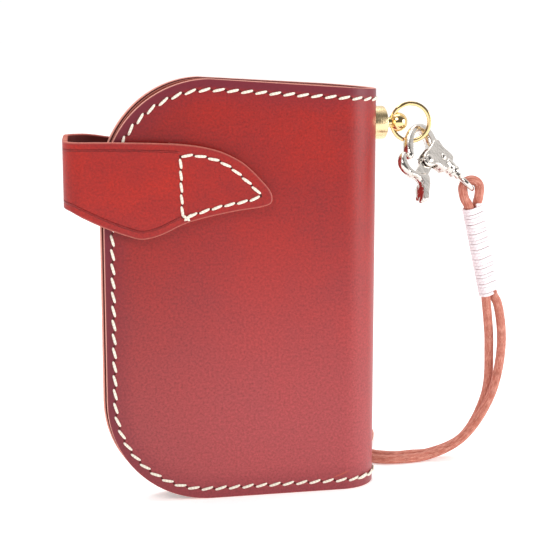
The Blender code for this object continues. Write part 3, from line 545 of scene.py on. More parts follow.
def add_node(
    tree: bpy.types.NodeTree,
    kind: str,
    inputs: Optional[dict] = None,
    output: Union[str, int] = 0,
    **settings,
) -> Socket:
    """Adds a shader node with its settings, values and links.

    Args:
        tree: the tree that it goes into.
        kind: the node's type, without the word that every shader node's type starts with.
        inputs: what each input gets, as fill() takes it.
        output: name or number of the output that is wanted.
        **settings: properties of the node.

    Returns:
        The wanted output.
    """
    node = tree.nodes.new(f"ShaderNode{kind}")
    for key, value in settings.items():
        setattr(node, key, value)
    fill(node, inputs or {})
    return node.outputs[output]


def per_mm(size: float, uv: bool = True) -> float:
    """Texture scale at which one cell of a pattern is this many millimetres."""
    return (UV_SPAN if uv else 1.0) / (size * MM)


def new_material(name: str) -> tuple:
    """Starts a material.

    Args:
        name: name for the material.

    Returns:
        The material, the function that adds a node to it, and its Principled shader.
    """
    made = bpy.data.materials.new(name)
    made.use_nodes = True
    return made, partial(add_node, made.node_tree), made.node_tree.nodes["Principled BSDF"]


@dataclass(frozen=True)
class DyedHide:
    """Vegetable-tanned hide, dyed red by hand, waxed and left raw at its cut edges.

    The eye gets a deep red with darker pools of dye, a fine pored grain, a soft waxy shine and a
    burgundy band where the edge was wetted and rubbed. The cut shows the pale undyed core.
    """

    name: str = "vegetable_tanned_hide"
    red: str = "9D190F"
    pool: str = "84191C"
    # Painted sheen: a paler pink mixed in towards the foot, standing in for the gloss's reflection.
    painted_sheen: str = "A94B4E"
    painted_sheen_share: float = 0.8
    band: str = "6A1A2B"
    core: str = "EBA796"
    fibre: str = "D98C7C"
    flesh: str = "5E1C18"
    pressed: str = "5A1420"
    bared: str = "C25A3C"
    band_width: float = 2.7
    soak_width: float = 6.0
    soak: float = 0.3
    # Painted shade towards the open edge: how dark it gets there and how far in it reaches.
    edge_shade: float = 0.84
    shade_reach: float = 45.0
    crease_at: float = 0.0
    crease_half: float = 0.38
    crease_depth: float = 0.5
    grain_width: float = 0.65
    pool_width: float = 18.0
    scuff: Optional[tuple] = None

    def build(self) -> Material:
        """Builds the material from the hide's own surface coordinates and edge attributes."""
        made, add, shader = new_material(self.name)
        surface = add("UVMap", uv_map="surface")
        fields = ("rim", "cut", "flesh")
        rim, cut, flesh = (add("Attribute", output="Fac", attribute_name=key) for key in fields)
        fine = {"Vector": surface, "Scale": per_mm(self.grain_width), "Detail": 3.0, "Roughness": 0.7}
        pores = add("TexNoise", fine)
        colour = self.bordered(add, surface, pores, rim)
        if self.scuff:
            colour = self.scuffed(add, surface, colour)
        fibres = add("TexNoise", {"Vector": surface, "Scale": per_mm(0.9), "Detail": 4.0})
        raw = add("Mix", {0: fibres, 6: self.core, 7: self.fibre}, **COLOURS)
        edged = add("Mix", {0: cut, 6: colour, 7: raw}, **COLOURS)
        whole = add("Mix", {0: flesh, 6: edged, 7: self.flesh}, **COLOURS)
        cells = {"Vector": surface, "Scale": per_mm(self.grain_width * 1.4)}
        pebbles = add("TexVoronoi", cells, feature="SMOOTH_F1")
        grain = add("Math", {0: pebbles, 1: 0.6, 2: pores}, operation="MULTIPLY_ADD")
        bump = add("Bump", {"Height": grain, "Strength": 0.32, "Distance": 0.13 * MM})
        if self.crease_at:
            whole, bump = self.creased(add, rim, whole, bump)
        uneven = {"Value": pores, "From Min": 0.25, "From Max": 0.75, "To Min": 0.36, "To Max": 0.5}
        gloss = add("MapRange", uneven)
        dull = add("Math", {0: cut, 1: flesh}, operation="MAXIMUM")
        rough = add("Mix", {0: dull, 2: gloss, 3: 0.75}, data_type="FLOAT")
        fill(shader, {"Base Color": whole, "Roughness": rough, "Normal": bump})
        fill(shader, {"IOR": 1.48, "Specular IOR Level": 0.36, "Coat Weight": 0.08, "Coat Roughness": 0.32})
        return made

    def waxed(self, add: Callable, surface: Socket, pores: Socket) -> Socket:
        """Colours the grain: pools of dye, pores, a painted shade towards the open edge and a painted pink
        sheen towards the foot.

        Args:
            add: adds a node to the material.
            surface: the surface coordinates.
            pores: the noise of the fine grain.

        Returns:
            The grain's colour.
        """
        cloud = {"Vector": surface, "Scale": per_mm(self.pool_width), "Detail": 5.0, "Roughness": 0.6}
        pools = add("TexNoise", cloud)
        pooled = add("MapRange", {"Value": pools, "From Min": 0.4, "From Max": 0.72, "To Max": 0.75})
        dyed = add("Mix", {0: pooled, 6: self.red, 7: self.pool}, **COLOURS)
        spread = {"Value": pores, "From Min": 0.3, "From Max": 0.7, "To Min": 0.68, "To Max": 1.3}
        speckle = add("MapRange", spread)
        run = add("SeparateXYZ", {"Vector": surface})
        # Painted shade: the colour darkens towards the open edge.
        inwards = {"Value": run, "From Max": self.shade_reach * MM / UV_SPAN, "To Min": self.edge_shade}
        shade = add("MapRange", inwards, **EASED)
        shaded = add("Math", {0: speckle, 1: shade}, operation="MULTIPLY")
        speckled = add("VectorMath", {0: dyed, "Scale": shaded}, operation="SCALE")
        # Painted sheen: towards the foot the colour is mixed with the paler pink that stands in for the
        # gloss's reflection.
        height = run.node.outputs["Y"]
        downwards = {"Value": height, "From Min": 0.95, "From Max": 0.05, "To Max": self.painted_sheen_share}
        sheen_share = add("MapRange", downwards, **EASED)
        sheened = add("VectorMath", {0: self.painted_sheen, "Scale": shaded}, operation="SCALE")
        return add("Mix", {0: sheen_share, 6: speckled, 7: sheened}, **COLOURS)

    def bordered(self, add: Callable, surface: Socket, pores: Socket, rim: Socket) -> Socket:
        """Adds the ragged burgundy band along the edge and the soaked margin inside it.

        Args:
            add: adds a node to the material.
            surface: the surface coordinates.
            pores: the noise of the fine grain.
            rim: the distance to the edge in millimetres.

        Returns:
            The colour of the hide's face.
        """
        width, waxed = self.band_width, self.waxed(add, surface, pores)
        margin = {"Value": rim, "From Min": width + self.soak_width, "From Max": width, "To Max": self.soak}
        soaked = add("MapRange", margin, **EASED)
        soft = add("Mix", {0: soaked, 6: waxed, 7: self.band}, **COLOURS)
        ragged = add("Math", {0: pores, 1: rim}, operation="ADD")
        wetted = {"Value": ragged, "From Min": width + 0.7, "From Max": width - 0.5, "To Max": 0.82}
        banded = add("MapRange", wetted, **EASED)
        height = add("SeparateXYZ", {"Vector": surface}, "Y")
        rubbed = add("MapRange", {"Value": height, "From Min": 0.02, "From Max": 0.32, "To Min": 0.3})
        share = add("Math", {0: banded, 1: rubbed}, operation="MULTIPLY")
        return add("Mix", {0: share, 6: soft, 7: self.band}, **COLOURS)

    def creased(self, add: Callable, rim: Socket, colour: Socket, bump: Socket) -> tuple:
        """Presses a line beside the edge, where the strap's attribute allows it, and darkens it.

        Args:
            add: adds a node to the material.
            rim: the distance to the edge in millimetres.
            colour: the colour without the line.
            bump: the normal without the line.

        Returns:
            The colour and the normal with it.
        """
        lined = add("Attribute", output="Fac", attribute_name="creased")
        off = add("Math", {0: rim, 1: self.crease_at}, operation="SUBTRACT")
        away = add("Math", {0: off}, operation="ABSOLUTE")
        groove = {"Value": away, "From Min": self.crease_half, "From Max": 0.05}
        pressed = add("MapRange", groove, **EASED)
        crease = add("Math", {0: pressed, 1: lined}, operation="MULTIPLY")
        sunk = {"Height": crease, "Distance": self.crease_depth * MM, "Normal": bump}
        share = add("Math", {0: crease, 1: 0.14}, operation="MULTIPLY")
        darker = add("Mix", {0: share, 6: colour, 7: self.pressed}, **COLOURS)
        return darker, add("Bump", sunk, invert=True)

    def scuffed(self, add: Callable, surface: Socket, under: Socket) -> Socket:
        """Draws one short fine scratch, where the dye is broken and the hide shows orange.

        The surface is turned so that the scratch lies along X from its start. It covers what is
        within its length and within its half width, which noise makes ragged.

        Args:
            add: adds a node to the material.
            surface: the surface coordinates.
            under: the colour below the scratch.

        Returns:
            The colour with the scratch in it.
        """
        run, up, slope, length = self.scuff
        half = length / UV_SPAN / 2
        start = {"Location": (run / UV_SPAN, up / UV_SPAN, 0.0), "Rotation": (0.0, 0.0, slope)}
        moved = add("Mapping", {"Vector": surface, **start}, vector_type="TEXTURE")
        frayed = add("TexNoise", {"Vector": surface, "Scale": per_mm(0.8), "Detail": 3.0})
        along = add("SeparateXYZ", {"Vector": moved})
        off = add("Math", {0: along.node.outputs["Y"]}, operation="ABSOLUTE")
        fraying = add("Math", {0: frayed, 1: 0.0016, 2: off}, operation="MULTIPLY_ADD")
        thin = add("MapRange", {"Value": fraying, "From Min": 0.0031, "From Max": 0.0019})
        past = add("Math", {0: along, 1: half}, operation="SUBTRACT")
        away = add("Math", {0: past}, operation="ABSOLUTE")
        fading = {"Value": away, "From Min": half, "From Max": half * 0.6, "To Max": 0.55}
        share = add("Math", {0: thin, 1: add("MapRange", fading)}, operation="MULTIPLY")
        return add("Mix", {0: share, 6: under, 7: self.bared}, **COLOURS)


@dataclass(frozen=True)
class SplitSuede:
    """Thin split leather with a brushed nap, for linings and pockets.

    The eye gets a matt brick red with cloudy strokes where the nap lies another way.
    """

    name: str = "brushed_split_lining"
    colour: str = "8E3A2C"
    stroked: str = "A5523F"

    def build(self) -> Material:
        """Builds the material."""
        made, add, shader = new_material(self.name)
        surface = add("UVMap", uv_map="surface")
        strokes = add("TexNoise", {"Vector": surface, "Scale": per_mm(9), "Detail": 4.0})
        nap = add("TexNoise", {"Vector": surface, "Scale": per_mm(0.35), "Detail": 3.0})
        both = add("Math", {0: nap, 1: 0.7, 2: strokes}, operation="MULTIPLY_ADD")
        share = add("MapRange", {"Value": both, "From Min": 0.55, "From Max": 1.15})
        colour = add("Mix", {0: share, 6: self.colour, 7: self.stroked}, **COLOURS)
        bump = add("Bump", {"Height": nap, "Strength": 0.4, "Distance": 0.12 * MM})
        fill(shader, {"Base Color": colour, "Normal": bump, "Roughness": 0.85, "Sheen Weight": 0.3})
        return made


@dataclass(frozen=True)
class WaxedThread:
    """Twisted linen thread, drawn through beeswax.

    The eye gets an off-white strand with a slanted ply line and a dull waxy gleam.
    """

    name: str
    colour: str
    shadow: str
    ply: float = 0.5
    relief: float = 0.16
    lint_share: float = 1.4

    def build(self) -> Material:
        """Builds the material; the ply line is drawn at twice its real pitch so that it shows."""
        made, add, shader = new_material(self.name)
        surface = add("UVMap", uv_map="surface")
        twist = add("Mapping", {"Vector": surface, "Scale": (1.0, self.ply * MM / UV_SPAN, 1.0)})
        bands = {"Vector": twist, "Scale": per_mm(self.ply) / 3.2, "Distortion": 1.0}
        plies = add("TexWave", bands, "Fac", bands_direction="DIAGONAL")
        lint = add("TexNoise", {"Vector": surface, "Scale": per_mm(0.3)})
        both = add("Math", {0: lint, 1: self.lint_share, 2: plies}, operation="MULTIPLY_ADD")
        share = add("MapRange", {"Value": both, "From Min": 0.2, "From Max": 1.3})
        colour = add("Mix", {0: share, 6: self.shadow, 7: self.colour}, **COLOURS)
        bump = add("Bump", {"Height": both, "Strength": self.relief, "Distance": 0.1 * MM})
        fill(shader, {"Base Color": colour, "Normal": bump, "Roughness": 0.5, "Subsurface Weight": 0.15})
        fill(shader, {"Subsurface Radius": (0.3 * MM, 0.3 * MM, 0.3 * MM), "Subsurface Scale": 1.0})
        return made


@dataclass(frozen=True)
class AwlHole:
    """Dark lens for the hole that an awl leaves in hide, between two stitches: painted shade, standing in
    for the hole's shadow.
    """

    name: str = "painted_awl_hole_shade"
    # Painted shade: the dark colour stands in for the shadow inside the hole.
    colour: str = "3A0D0A"
    torn: str = "5A1A12"

    def build(self) -> Material:
        """Builds the material, with the torn fibres' faint change of colour."""
        made, add, shader = new_material(self.name)
        place = add("TexCoord", output="Object")
        fibres = add("TexNoise", {"Vector": place, "Scale": per_mm(0.4, False)})
        colour = add("Mix", {0: fibres, 6: self.colour, 7: self.torn}, **COLOURS)
        fill(shader, {"Base Color": colour, "Roughness": 0.9})
        return made


@dataclass(frozen=True)
class PlatedMetal:
    """Metal that was turned or cast, polished and plated.

    The eye gets a mirror with faint hairlines and a slightly uneven gloss. Turned pieces keep
    rings that go round their axis, where the wheel didn't reach.
    """

    name: str
    colour: str
    roughness: float
    hairline: float = 0.04
    ring_width: float = 0.0
    ring_depth: float = 0.0
    waves: float = 0.0

    def build(self) -> Material:
        """Builds the material on Object coordinates, or on the turned piece's own surface."""
        made, add, shader = new_material(self.name)
        place = add("TexCoord", output="Object")
        coarse = {"Vector": place, "Scale": per_mm(3.5, False), "Detail": 4.0, "Roughness": 0.65}
        cloud = add("TexNoise", coarse)
        least, most = self.roughness * 0.7, self.roughness * 1.3
        uneven = {"Value": cloud, "From Min": 0.3, "From Max": 0.7, "To Min": least, "To Max": most}
        rough = add("MapRange", uneven)
        fine = {"Vector": place, "Scale": per_mm(0.5, False), "Detail": 5.0, "Roughness": 0.7}
        wear = add("TexNoise", fine)
        bump = add("Bump", {"Height": wear, "Strength": self.hairline, "Distance": 0.08 * MM})
        if self.waves:
            bump = add("Bump", {"Height": cloud, "Distance": self.waves * MM, "Normal": bump})
        if self.ring_width:
            surface = add("UVMap", uv_map="surface")
            drawn = add("Mapping", {"Vector": surface, "Scale": (0.05, 1.0, 1.0)})
            rings = add("TexNoise", {"Vector": drawn, "Scale": per_mm(self.ring_width), "Detail": 3.0})
            cut = {"Height": rings, "Strength": self.ring_depth, "Distance": 0.1 * MM, "Normal": bump}
            bump = add("Bump", cut)
        faint = {"Value": cloud, "From Min": 0.2, "From Max": 0.8, "To Min": 0.93, "To Max": 1.03}
        tint = add("MapRange", faint)
        colour = add("VectorMath", {0: self.colour, "Scale": tint}, operation="SCALE")
        fill(shader, {"Base Color": colour, "Roughness": rough, "Normal": bump, "Metallic": 1.0})
        return made


@dataclass(frozen=True)
class RoundHideCord:
    """Round cord cut and rolled from natural hide.

    The eye gets salmon brown with short lengthwise fibres, pale where they stand up and darker
    where the dye soaked in.
    """

    name: str = "rolled_hide_cord"
    colour: str = "B76551"
    pale: str = "DC9A87"
    soaked: str = "8F4530"
    girth: float = 0.085

    def build(self) -> Material:
        """Builds the material along the cord's own length."""
        made, add, shader = new_material(self.name)
        surface = add("UVMap", uv_map="surface")
        along = add("Mapping", {"Vector": surface, "Scale": (1.0, self.girth, 1.0)})
        stretched = add("Mapping", {"Vector": along, "Scale": (0.35, 1.0, 1.0)})
        fine = {"Vector": stretched, "Scale": per_mm(0.7), "Detail": 4.0, "Roughness": 0.72}
        fibre = add("TexNoise", fine)
        patch = add("TexNoise", {"Vector": along, "Scale": per_mm(3.2), "Detail": 3.0})
        high = add("MapRange", {"Value": fibre, "From Min": 0.44, "From Max": 0.66})
        low = add("MapRange", {"Value": patch, "From Min": 0.5, "From Max": 0.72, "To Max": 0.7})
        soaked = add("Mix", {0: low, 6: self.colour, 7: self.soaked}, **COLOURS)
        fibred = add("Mix", {0: high, 6: soaked, 7: self.pale}, **COLOURS)
        bump = add("Bump", {"Height": fibre, "Strength": 0.6, "Distance": 0.2 * MM})
        fill(shader, {"Base Color": fibred, "Normal": bump, "Roughness": 0.62})
        return made


@dataclass(frozen=True)
class StudioPaper:
    """Matt white background paper, with its faint pulp."""

    name: str = "background_paper"
    colour: str = "FAFAFA"
    pulp: str = "F6F6F6"
    glow: float = 0.34

    def build(self) -> Material:
        """Builds the material; light from under the paper keeps it white, as on a light table."""
        made, add, shader = new_material(self.name)
        place = add("TexCoord", output="Object")
        pulp = add("TexNoise", {"Vector": place, "Scale": per_mm(2.0, False)})
        colour = add("Mix", {0: pulp, 6: self.colour, 7: self.pulp}, **COLOURS)
        fill(shader, {"Emission Color": (1.0, 1.0, 1.0, 1.0), "Emission Strength": self.glow})
        fill(shader, {"Base Color": colour, "Roughness": 0.9})
        return made


STRAP_HIDE = DyedHide(
    name="creased_strap_hide",
    band_width=0.9,
    crease_at=2.1,
    edge_shade=1.0,
    band="8A1F22",
    red="A61D10",
    core="A94637",
    # Painted sheen towards the foot, weaker on the strap.
    painted_sheen_share=0.45,
    soak=0.12,
)
SCUFFED_HIDE = DyedHide(name="scratched_front_hide", scuff=(0.0632, 0.0037, math.radians(20), 0.0052))
LINEN = WaxedThread("waxed_linen_thread", "F5EEDF", "D9CBB0")
TWINE = WaxedThread("white_whipping_twine", "F2E9EC", "E4D5DA", relief=0.03)
TURNED_BRASS = PlatedMetal("turned_brass", "EBD2A4", 0.24, ring_width=0.35, ring_depth=0.3)
POLISHED_NICKEL = PlatedMetal("polished_nickel", "DCD5CE", 0.08, waves=0.2)


@dataclass
class Finishes:
    """Every finish on the wallet, each built once."""

    hide: Material = field(default_factory=DyedHide().build)
    strap_hide: Material = field(default_factory=STRAP_HIDE.build)
    scuffed_hide: Material = field(default_factory=SCUFFED_HIDE.build)
    suede: Material = field(default_factory=SplitSuede().build)
    thread: Material = field(default_factory=LINEN.build)
    whipping: Material = field(default_factory=TWINE.build)
    # Painted shade for the awl holes.
    hole: Material = field(default_factory=AwlHole().build)
    brushed_brass: Material = field(default_factory=TURNED_BRASS.build)
    brass: Material = field(default_factory=PlatedMetal("polished_brass", "EFD199", 0.09).build)
    nickel: Material = field(default_factory=POLISHED_NICKEL.build)
    steel: Material = field(default_factory=PlatedMetal("plated_magnet", "C9CACB", 0.3).build)
    cord: Material = field(default_factory=RoundHideCord().build)


def dress(obj: Object, look: Material) -> None:
    """Gives an object one finish all over."""
    obj.data.materials.clear()
    obj.data.materials.append(look)


def fit_out(
    obj: Object,
    look: Material,
    slot: Optional[str] = None,
    nodes: Sequence[str] = (),
    body: Optional[Body] = None,
) -> Object:
    """Gives a piece its finish and its place in the frame, and logs it.

    Args:
        obj: the piece.
        look: its material.
        slot: the record's material slot; not used.
        nodes: the frame's nodes that it stands for.
        body: the body that it rides on, if it rides on one.

    Returns:
        The piece.
    """
    dress(obj, look)
    if nodes:
        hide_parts(*nodes)
    if body:
        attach(obj, body.value)
    LOG.info("%s: %d faces", obj.name, len(obj.data.polygons))
    return obj


# Shared form


@dataclass(frozen=True)
class WalletForm:
    """Sizes that several sub-assemblies share, and where the leather lies."""

    height: float = 0.116
    spine_drop: float = 0.0036
    closed_width: float = 0.078
    edge_thickness: float = 0.0054
    spine_radius: float = 0.011
    corner: float = 0.0285
    leather: float = 0.0015
    lining: float = 0.0006
    gap: float = 0.0003
    fold_angle: float = math.radians(45)
    seam_inset: float = 0.0029
    stud_drop: float = 0.0135
    hole_reach: float = 0.0068
    loop_reach: float = 0.01
    strap_leather: float = 0.0015
    backing: float = 0.0006
    tongue_length: float = 0.0546
    tongue_depth: float = 0.0262
    tongue_drop: float = 0.0422
    anchor_length: float = 0.046

    @property
    def spine_x(self) -> float:
        """X of the spine's axis."""
        return self.leather / 2 - self.spine_radius

    @property
    def open_x(self) -> float:
        """X of the open edge."""
        return self.leather / 2 - self.closed_width

    @property
    def tilt(self) -> float:
        """Angle between a cover and the wallet's middle plane."""
        reach, half = self.spine_x - self.open_x, self.edge_thickness / 2
        return math.asin(self.spine_radius / math.hypot(reach, half)) - math.atan2(half, reach)

    @property
    def flat_run(self) -> float:
        """Run at which the flat cover goes over into the round spine."""
        reach, half = self.spine_x - self.open_x, self.edge_thickness / 2
        return math.sqrt(reach**2 + half**2 - self.spine_radius**2)

    @property
    def spine_run(self) -> float:
        """Run at the spine's middle."""
        return self.flat_run + self.spine_radius * (math.pi / 2 + self.tilt)

    @property
    def fold_run(self) -> float:
        """Run on the axis that a cover folds about."""
        return self.spine_run - self.spine_radius * self.fold_angle

    @property
    def lining_depth(self) -> float:
        """Depth at which the lining starts."""
        return self.leather + self.gap

    @property
    def stud_height(self) -> float:
        """Height of the stud's axis."""
        return self.height - self.stud_drop

    @property
    def tongue_foot(self) -> float:
        """Height of the tongue's lowest point."""
        return self.height - self.tongue_drop

    @property
    def loop_x(self) -> float:
        """X of the strap's outermost point."""
        return self.open_x - self.loop_reach

    @property
    def loop_radius(self) -> float:
        """Outside radius of the strap's loop, which touches both leaves."""
        standoff = 2 * self.gap + self.backing + self.strap_leather
        half = math.cos(self.tilt) * self.edge_thickness / 2
        return (half + standoff - math.sin(self.tilt) * self.loop_reach) / (1 - math.sin(self.tilt))

    def skin(self, run: Array, depth: Array, side: Side) -> tuple:
        """Plan place on a cover and its half of the spine.

        Up to the spine it is a straight line at the cover's tilt, and past it an arc about the
        spine's axis; the depth shortens the arc's radius or shifts the line square to itself.

        Args:
            run: distances along the outside from the open edge.
            depth: distances inwards.
            side: the cover.

        Returns:
            X and Y.
        """
        run, depth = np.broadcast_arrays(run, depth)
        angle = math.pi / 2 + self.tilt - (run - self.flat_run) / self.spine_radius
        reach = self.spine_radius - depth
        cos, sin = math.cos(self.tilt), math.sin(self.tilt)
        straight = run < self.flat_run
        flat_x = self.open_x + run * cos + depth * sin
        flat_y = self.edge_thickness / 2 + run * sin - depth * cos
        x = np.where(straight, flat_x, self.spine_x + reach * np.cos(angle))
        y = np.where(straight, flat_y, reach * np.sin(angle))
        return x, side.value * y

    def layer(self, side: Side, depth: float) -> Bend:
        """The plan of a layer whose outer face lies at a depth on one cover."""
        return lambda run, into: self.skin(run, depth + into, side)

    def loop(self, run: Array, depth: Array) -> tuple:
        """Plan place on the strap: minus runs lie behind and plus runs in front.

        From the outermost point it is an arc about the loop's middle up to the covers' tilt, and
        then a straight line.

        Args:
            run: signed distances from the loop's outermost point.
            depth: distances inwards.

        Returns:
            X and Y.
        """
        run, depth = np.broadcast_arrays(run, depth)
        turn = math.pi / 2 - self.tilt
        centre, reach = self.loop_x + self.loop_radius, self.loop_radius - depth
        away = np.abs(run)
        angle = np.minimum(away / self.loop_radius, turn)
        left = np.maximum(away - self.loop_radius * turn, 0)
        x = centre - reach * np.cos(angle) + left * math.cos(self.tilt)
        y = reach * np.sin(angle) + left * math.sin(self.tilt)
        return x, -np.sign(run) * y

    def top(self, run: Array) -> Array:
        """Height of the top edge, which falls in a straight line from the corner to the spine.

        Args:
            run: runs along the leather.

        Returns:
            One height for each run.
        """
        x, _ = self.skin(run, np.zeros_like(run), Side.REAR)
        corner = self.open_x + self.corner
        return self.height - self.spine_drop * np.clip((x - corner) / (self.leather / 2 - corner), 0, 1)


@dataclass
class Leaf:
    """A leaf of leather with rounded cut edges, bent to a plan.

    Its outline is a lower and an upper line over the same runs. Points of a row share one place
    between the two lines. The cut edge is the outline's rim carried through the thickness on a
    profile that bulges most at half depth.
    """

    name: str
    runs: Array
    low: Array
    high: Array
    bend: Bend
    thickness: float
    rows: int = 48
    rounding: float = 0.00025
    open_end: bool = False
    profile: tuple = ((0.07, 0.6), (0.22, 0.93), (0.5, 1.0), (0.78, 0.93), (0.93, 0.6))

    def build(self, creased: Optional[Callable[[Array], Array]] = None) -> Object:
        """Builds the leaf.

        Args:
            creased: share of a pressed crease at each run, for a strap.

        Returns:
            The leaf, with attributes for the distance to its edge in millimetres, for the raw cut
            and for the flesh side.
        """
        low, high = self.lines()
        inner_low, inner_high = self.drawn_in(low, high)
        share = (1 - np.cos(np.linspace(0, np.pi, self.rows))) / 2
        share = 0.5 * share + 0.5 * np.linspace(0, 1, self.rows)
        flat = inner_low[:, None] * (1 - share[None, :, None]) + inner_high[:, None] * share[None, :, None]
        columns = len(self.runs)
        number = np.arange(columns * self.rows).reshape(columns, self.rows)
        rim = np.concatenate(
            [number[:-1, 0], number[-1, :-1], number[:0:-1, -1], number[0, :0:-1]]
        )
        flat = flat.reshape(-1, 2)
        edge = flat[rim]
        out = -inwards(edge)
        if self.open_end:
            at_end = np.isin(rim, number[-1])
            inside = np.isin(rim, number[-1, 1:-1])
            out[at_end, 0] = 0
            out[at_end, 1] = np.sign(out[at_end, 1])
            out[inside] = 0
        depths = np.array([0.0, *(d for d, _ in self.profile), 1.0]) * self.thickness
        places = [flat] + [edge + out * self.rounding * bulge for _, bulge in self.profile] + [flat]
        sizes = [len(p) for p in places]
        all_flat = np.concatenate(places)
        all_depth = np.repeat(depths, sizes)
        x, y = self.bend(all_flat[:, 0], all_depth)
        points = np.stack([x, y, all_flat[:, 1]], -1)
        starts = np.concatenate([[0], np.cumsum(sizes)])
        rings = [rim] + [starts[k] + np.arange(sizes[k]) for k in range(1, len(places) - 1)]
        rings.append(starts[-2] + rim)
        quads = grid_faces(columns, self.rows)
        faces = [quads, quads[:, ::-1] + starts[-2]]
        faces += [strip_faces(b, a) for a, b in zip(rings, rings[1:])]
        outline = np.concatenate([high[::-1], low])
        if not self.open_end:
            outline = np.concatenate([outline, outline[:1]])
        cut = np.repeat([0.0, *(1.0 if 0.1 < d < 0.9 else 0.6 for d, _ in self.profile), 0.0], sizes)
        flesh = np.repeat([0.0] * (len(places) - 1) + [1.0], sizes)
        values = {"rim": edge_distance(all_flat, outline) / MM, "cut": cut, "flesh": flesh}
        if creased is not None:
            values["creased"] = creased(all_flat[:, 0])
        return new_piece(self.name, points, faces, all_flat / UV_SPAN, values, sharp=75.0)

    def lines(self) -> tuple:
        """The lower and the upper line as flat places."""
        return np.stack([self.runs, self.low], -1), np.stack([self.runs, self.high], -1)

    def drawn_in(self, low: Array, high: Array) -> tuple:
        """Moves both lines inwards by the edge's rounding.

        Args:
            low: the lower line.
            high: the upper line.

        Returns:
            The two moved lines.
        """
        loop = np.concatenate([low, high[::-1]])
        inward = inwards(loop)
        count = len(low)
        if self.open_end:
            inward[[count - 1, count]] = [[0, 1], [0, -1]]
        moved = loop + inward * self.rounding
        return moved[:count], moved[count:][::-1]


# Sub-assemblies


@dataclass
class Studio:
    """Plain paper floor, soft lights and the camera."""

    position: tuple = (-0.1672, -0.4007, 0.1385)
    target: tuple = (-0.02824, 0.0, 0.06084)
    focal_pixels: float = 1545.2
    image_pixels: float = 550.0
    sensor: float = 36.0
    floor_radius: float = 4.0
    lit_point: tuple = (-0.02, 0.0, 0.055)

    def build(self) -> None:
        """Makes the camera, the lights, the world and the floor."""
        self.place_camera()
        self.place_lights()
        self.lay_floor()

    def aimed(self, name: str, data: bpy.types.ID, place: tuple, target: tuple) -> Object:
        """Puts a camera or a light at a place and turns it to a target.

        Args:
            name: the object's name.
            data: the camera or the light.
            place: where it stands.
            target: the point that it looks at.

        Returns:
            The object.
        """
        obj = linked(name, data)
        obj.location = place
        obj.rotation_mode = "QUATERNION"
        obj.rotation_quaternion = (Vector(target) - Vector(place)).to_track_quat("-Z", "Y")
        return obj

    def place_camera(self) -> None:
        """Looks from the front and a little from the open edge, slightly downwards."""
        data = bpy.data.cameras.new("camera")
        data.sensor_width = self.sensor
        data.lens = self.focal_pixels * self.sensor / self.image_pixels
        data.clip_start, data.clip_end = 0.01, 20.0
        bpy.context.scene.camera = self.aimed("camera", data, self.position, self.target)

    def place_lights(self) -> None:
        """Three soft boxes and a white surround, darker only where the camera's side reflects."""
        boxes = (
            ("key_box", (-0.5, -0.6, 0.75), 0.55, 3.8),
            ("side_box", (0.66, -0.5, 0.2), 0.55, 4.2),
            ("top_box", (0.0, 0.25, 0.95), 0.8, 3.0),
        )
        for name, place, size, power in boxes:
            data = bpy.data.lights.new(name, "AREA")
            data.shape, data.size, data.energy = "DISK", size, power
            self.aimed(name, data, place, self.lit_point)
        world = bpy.data.worlds.new("surround")
        world.use_nodes = True
        add = partial(add_node, world.node_tree)
        behind = add("SeparateXYZ", {"Vector": add("TexCoord", output="Generated")}, "Y")
        falling = {"Value": behind, "From Min": -0.5, "From Max": 0.0, "To Min": 0.16, "To Max": 1.02}
        lit = add("MapRange", falling, **EASED)
        seen = add("Math", {0: add("LightPath", output="Is Camera Ray"), 1: lit}, operation="MAXIMUM")
        fill(world.node_tree.nodes["Background"], {"Strength": seen, "Color": (1.0, 1.0, 1.0, 1.0)})
        bpy.context.scene.world = world

    def lay_floor(self) -> None:
        """Lays a round sheet of paper under the wallet, as a fan of rings about its middle."""
        turn = np.linspace(0, 2 * np.pi, 96, endpoint=False)
        radii = np.array([0.2, 0.6, 1.5, self.floor_radius])
        x, y = np.outer(radii, np.cos(turn)), np.outer(radii, np.sin(turn))
        points = np.stack([x, y, np.zeros_like(x)], -1).reshape(-1, 3)
        points = np.concatenate([points, np.zeros((1, 3))])
        mesh = bpy.data.meshes.new("floor")
        faces = grid_faces(len(radii), len(turn), wrap=True)[:, ::-1].tolist()
        faces += fan_faces(np.arange(len(turn)), len(points) - 1).tolist()
        mesh.from_pydata(points.tolist(), [], faces)
        floor = linked("floor", mesh)
        dress(floor, StudioPaper().build())


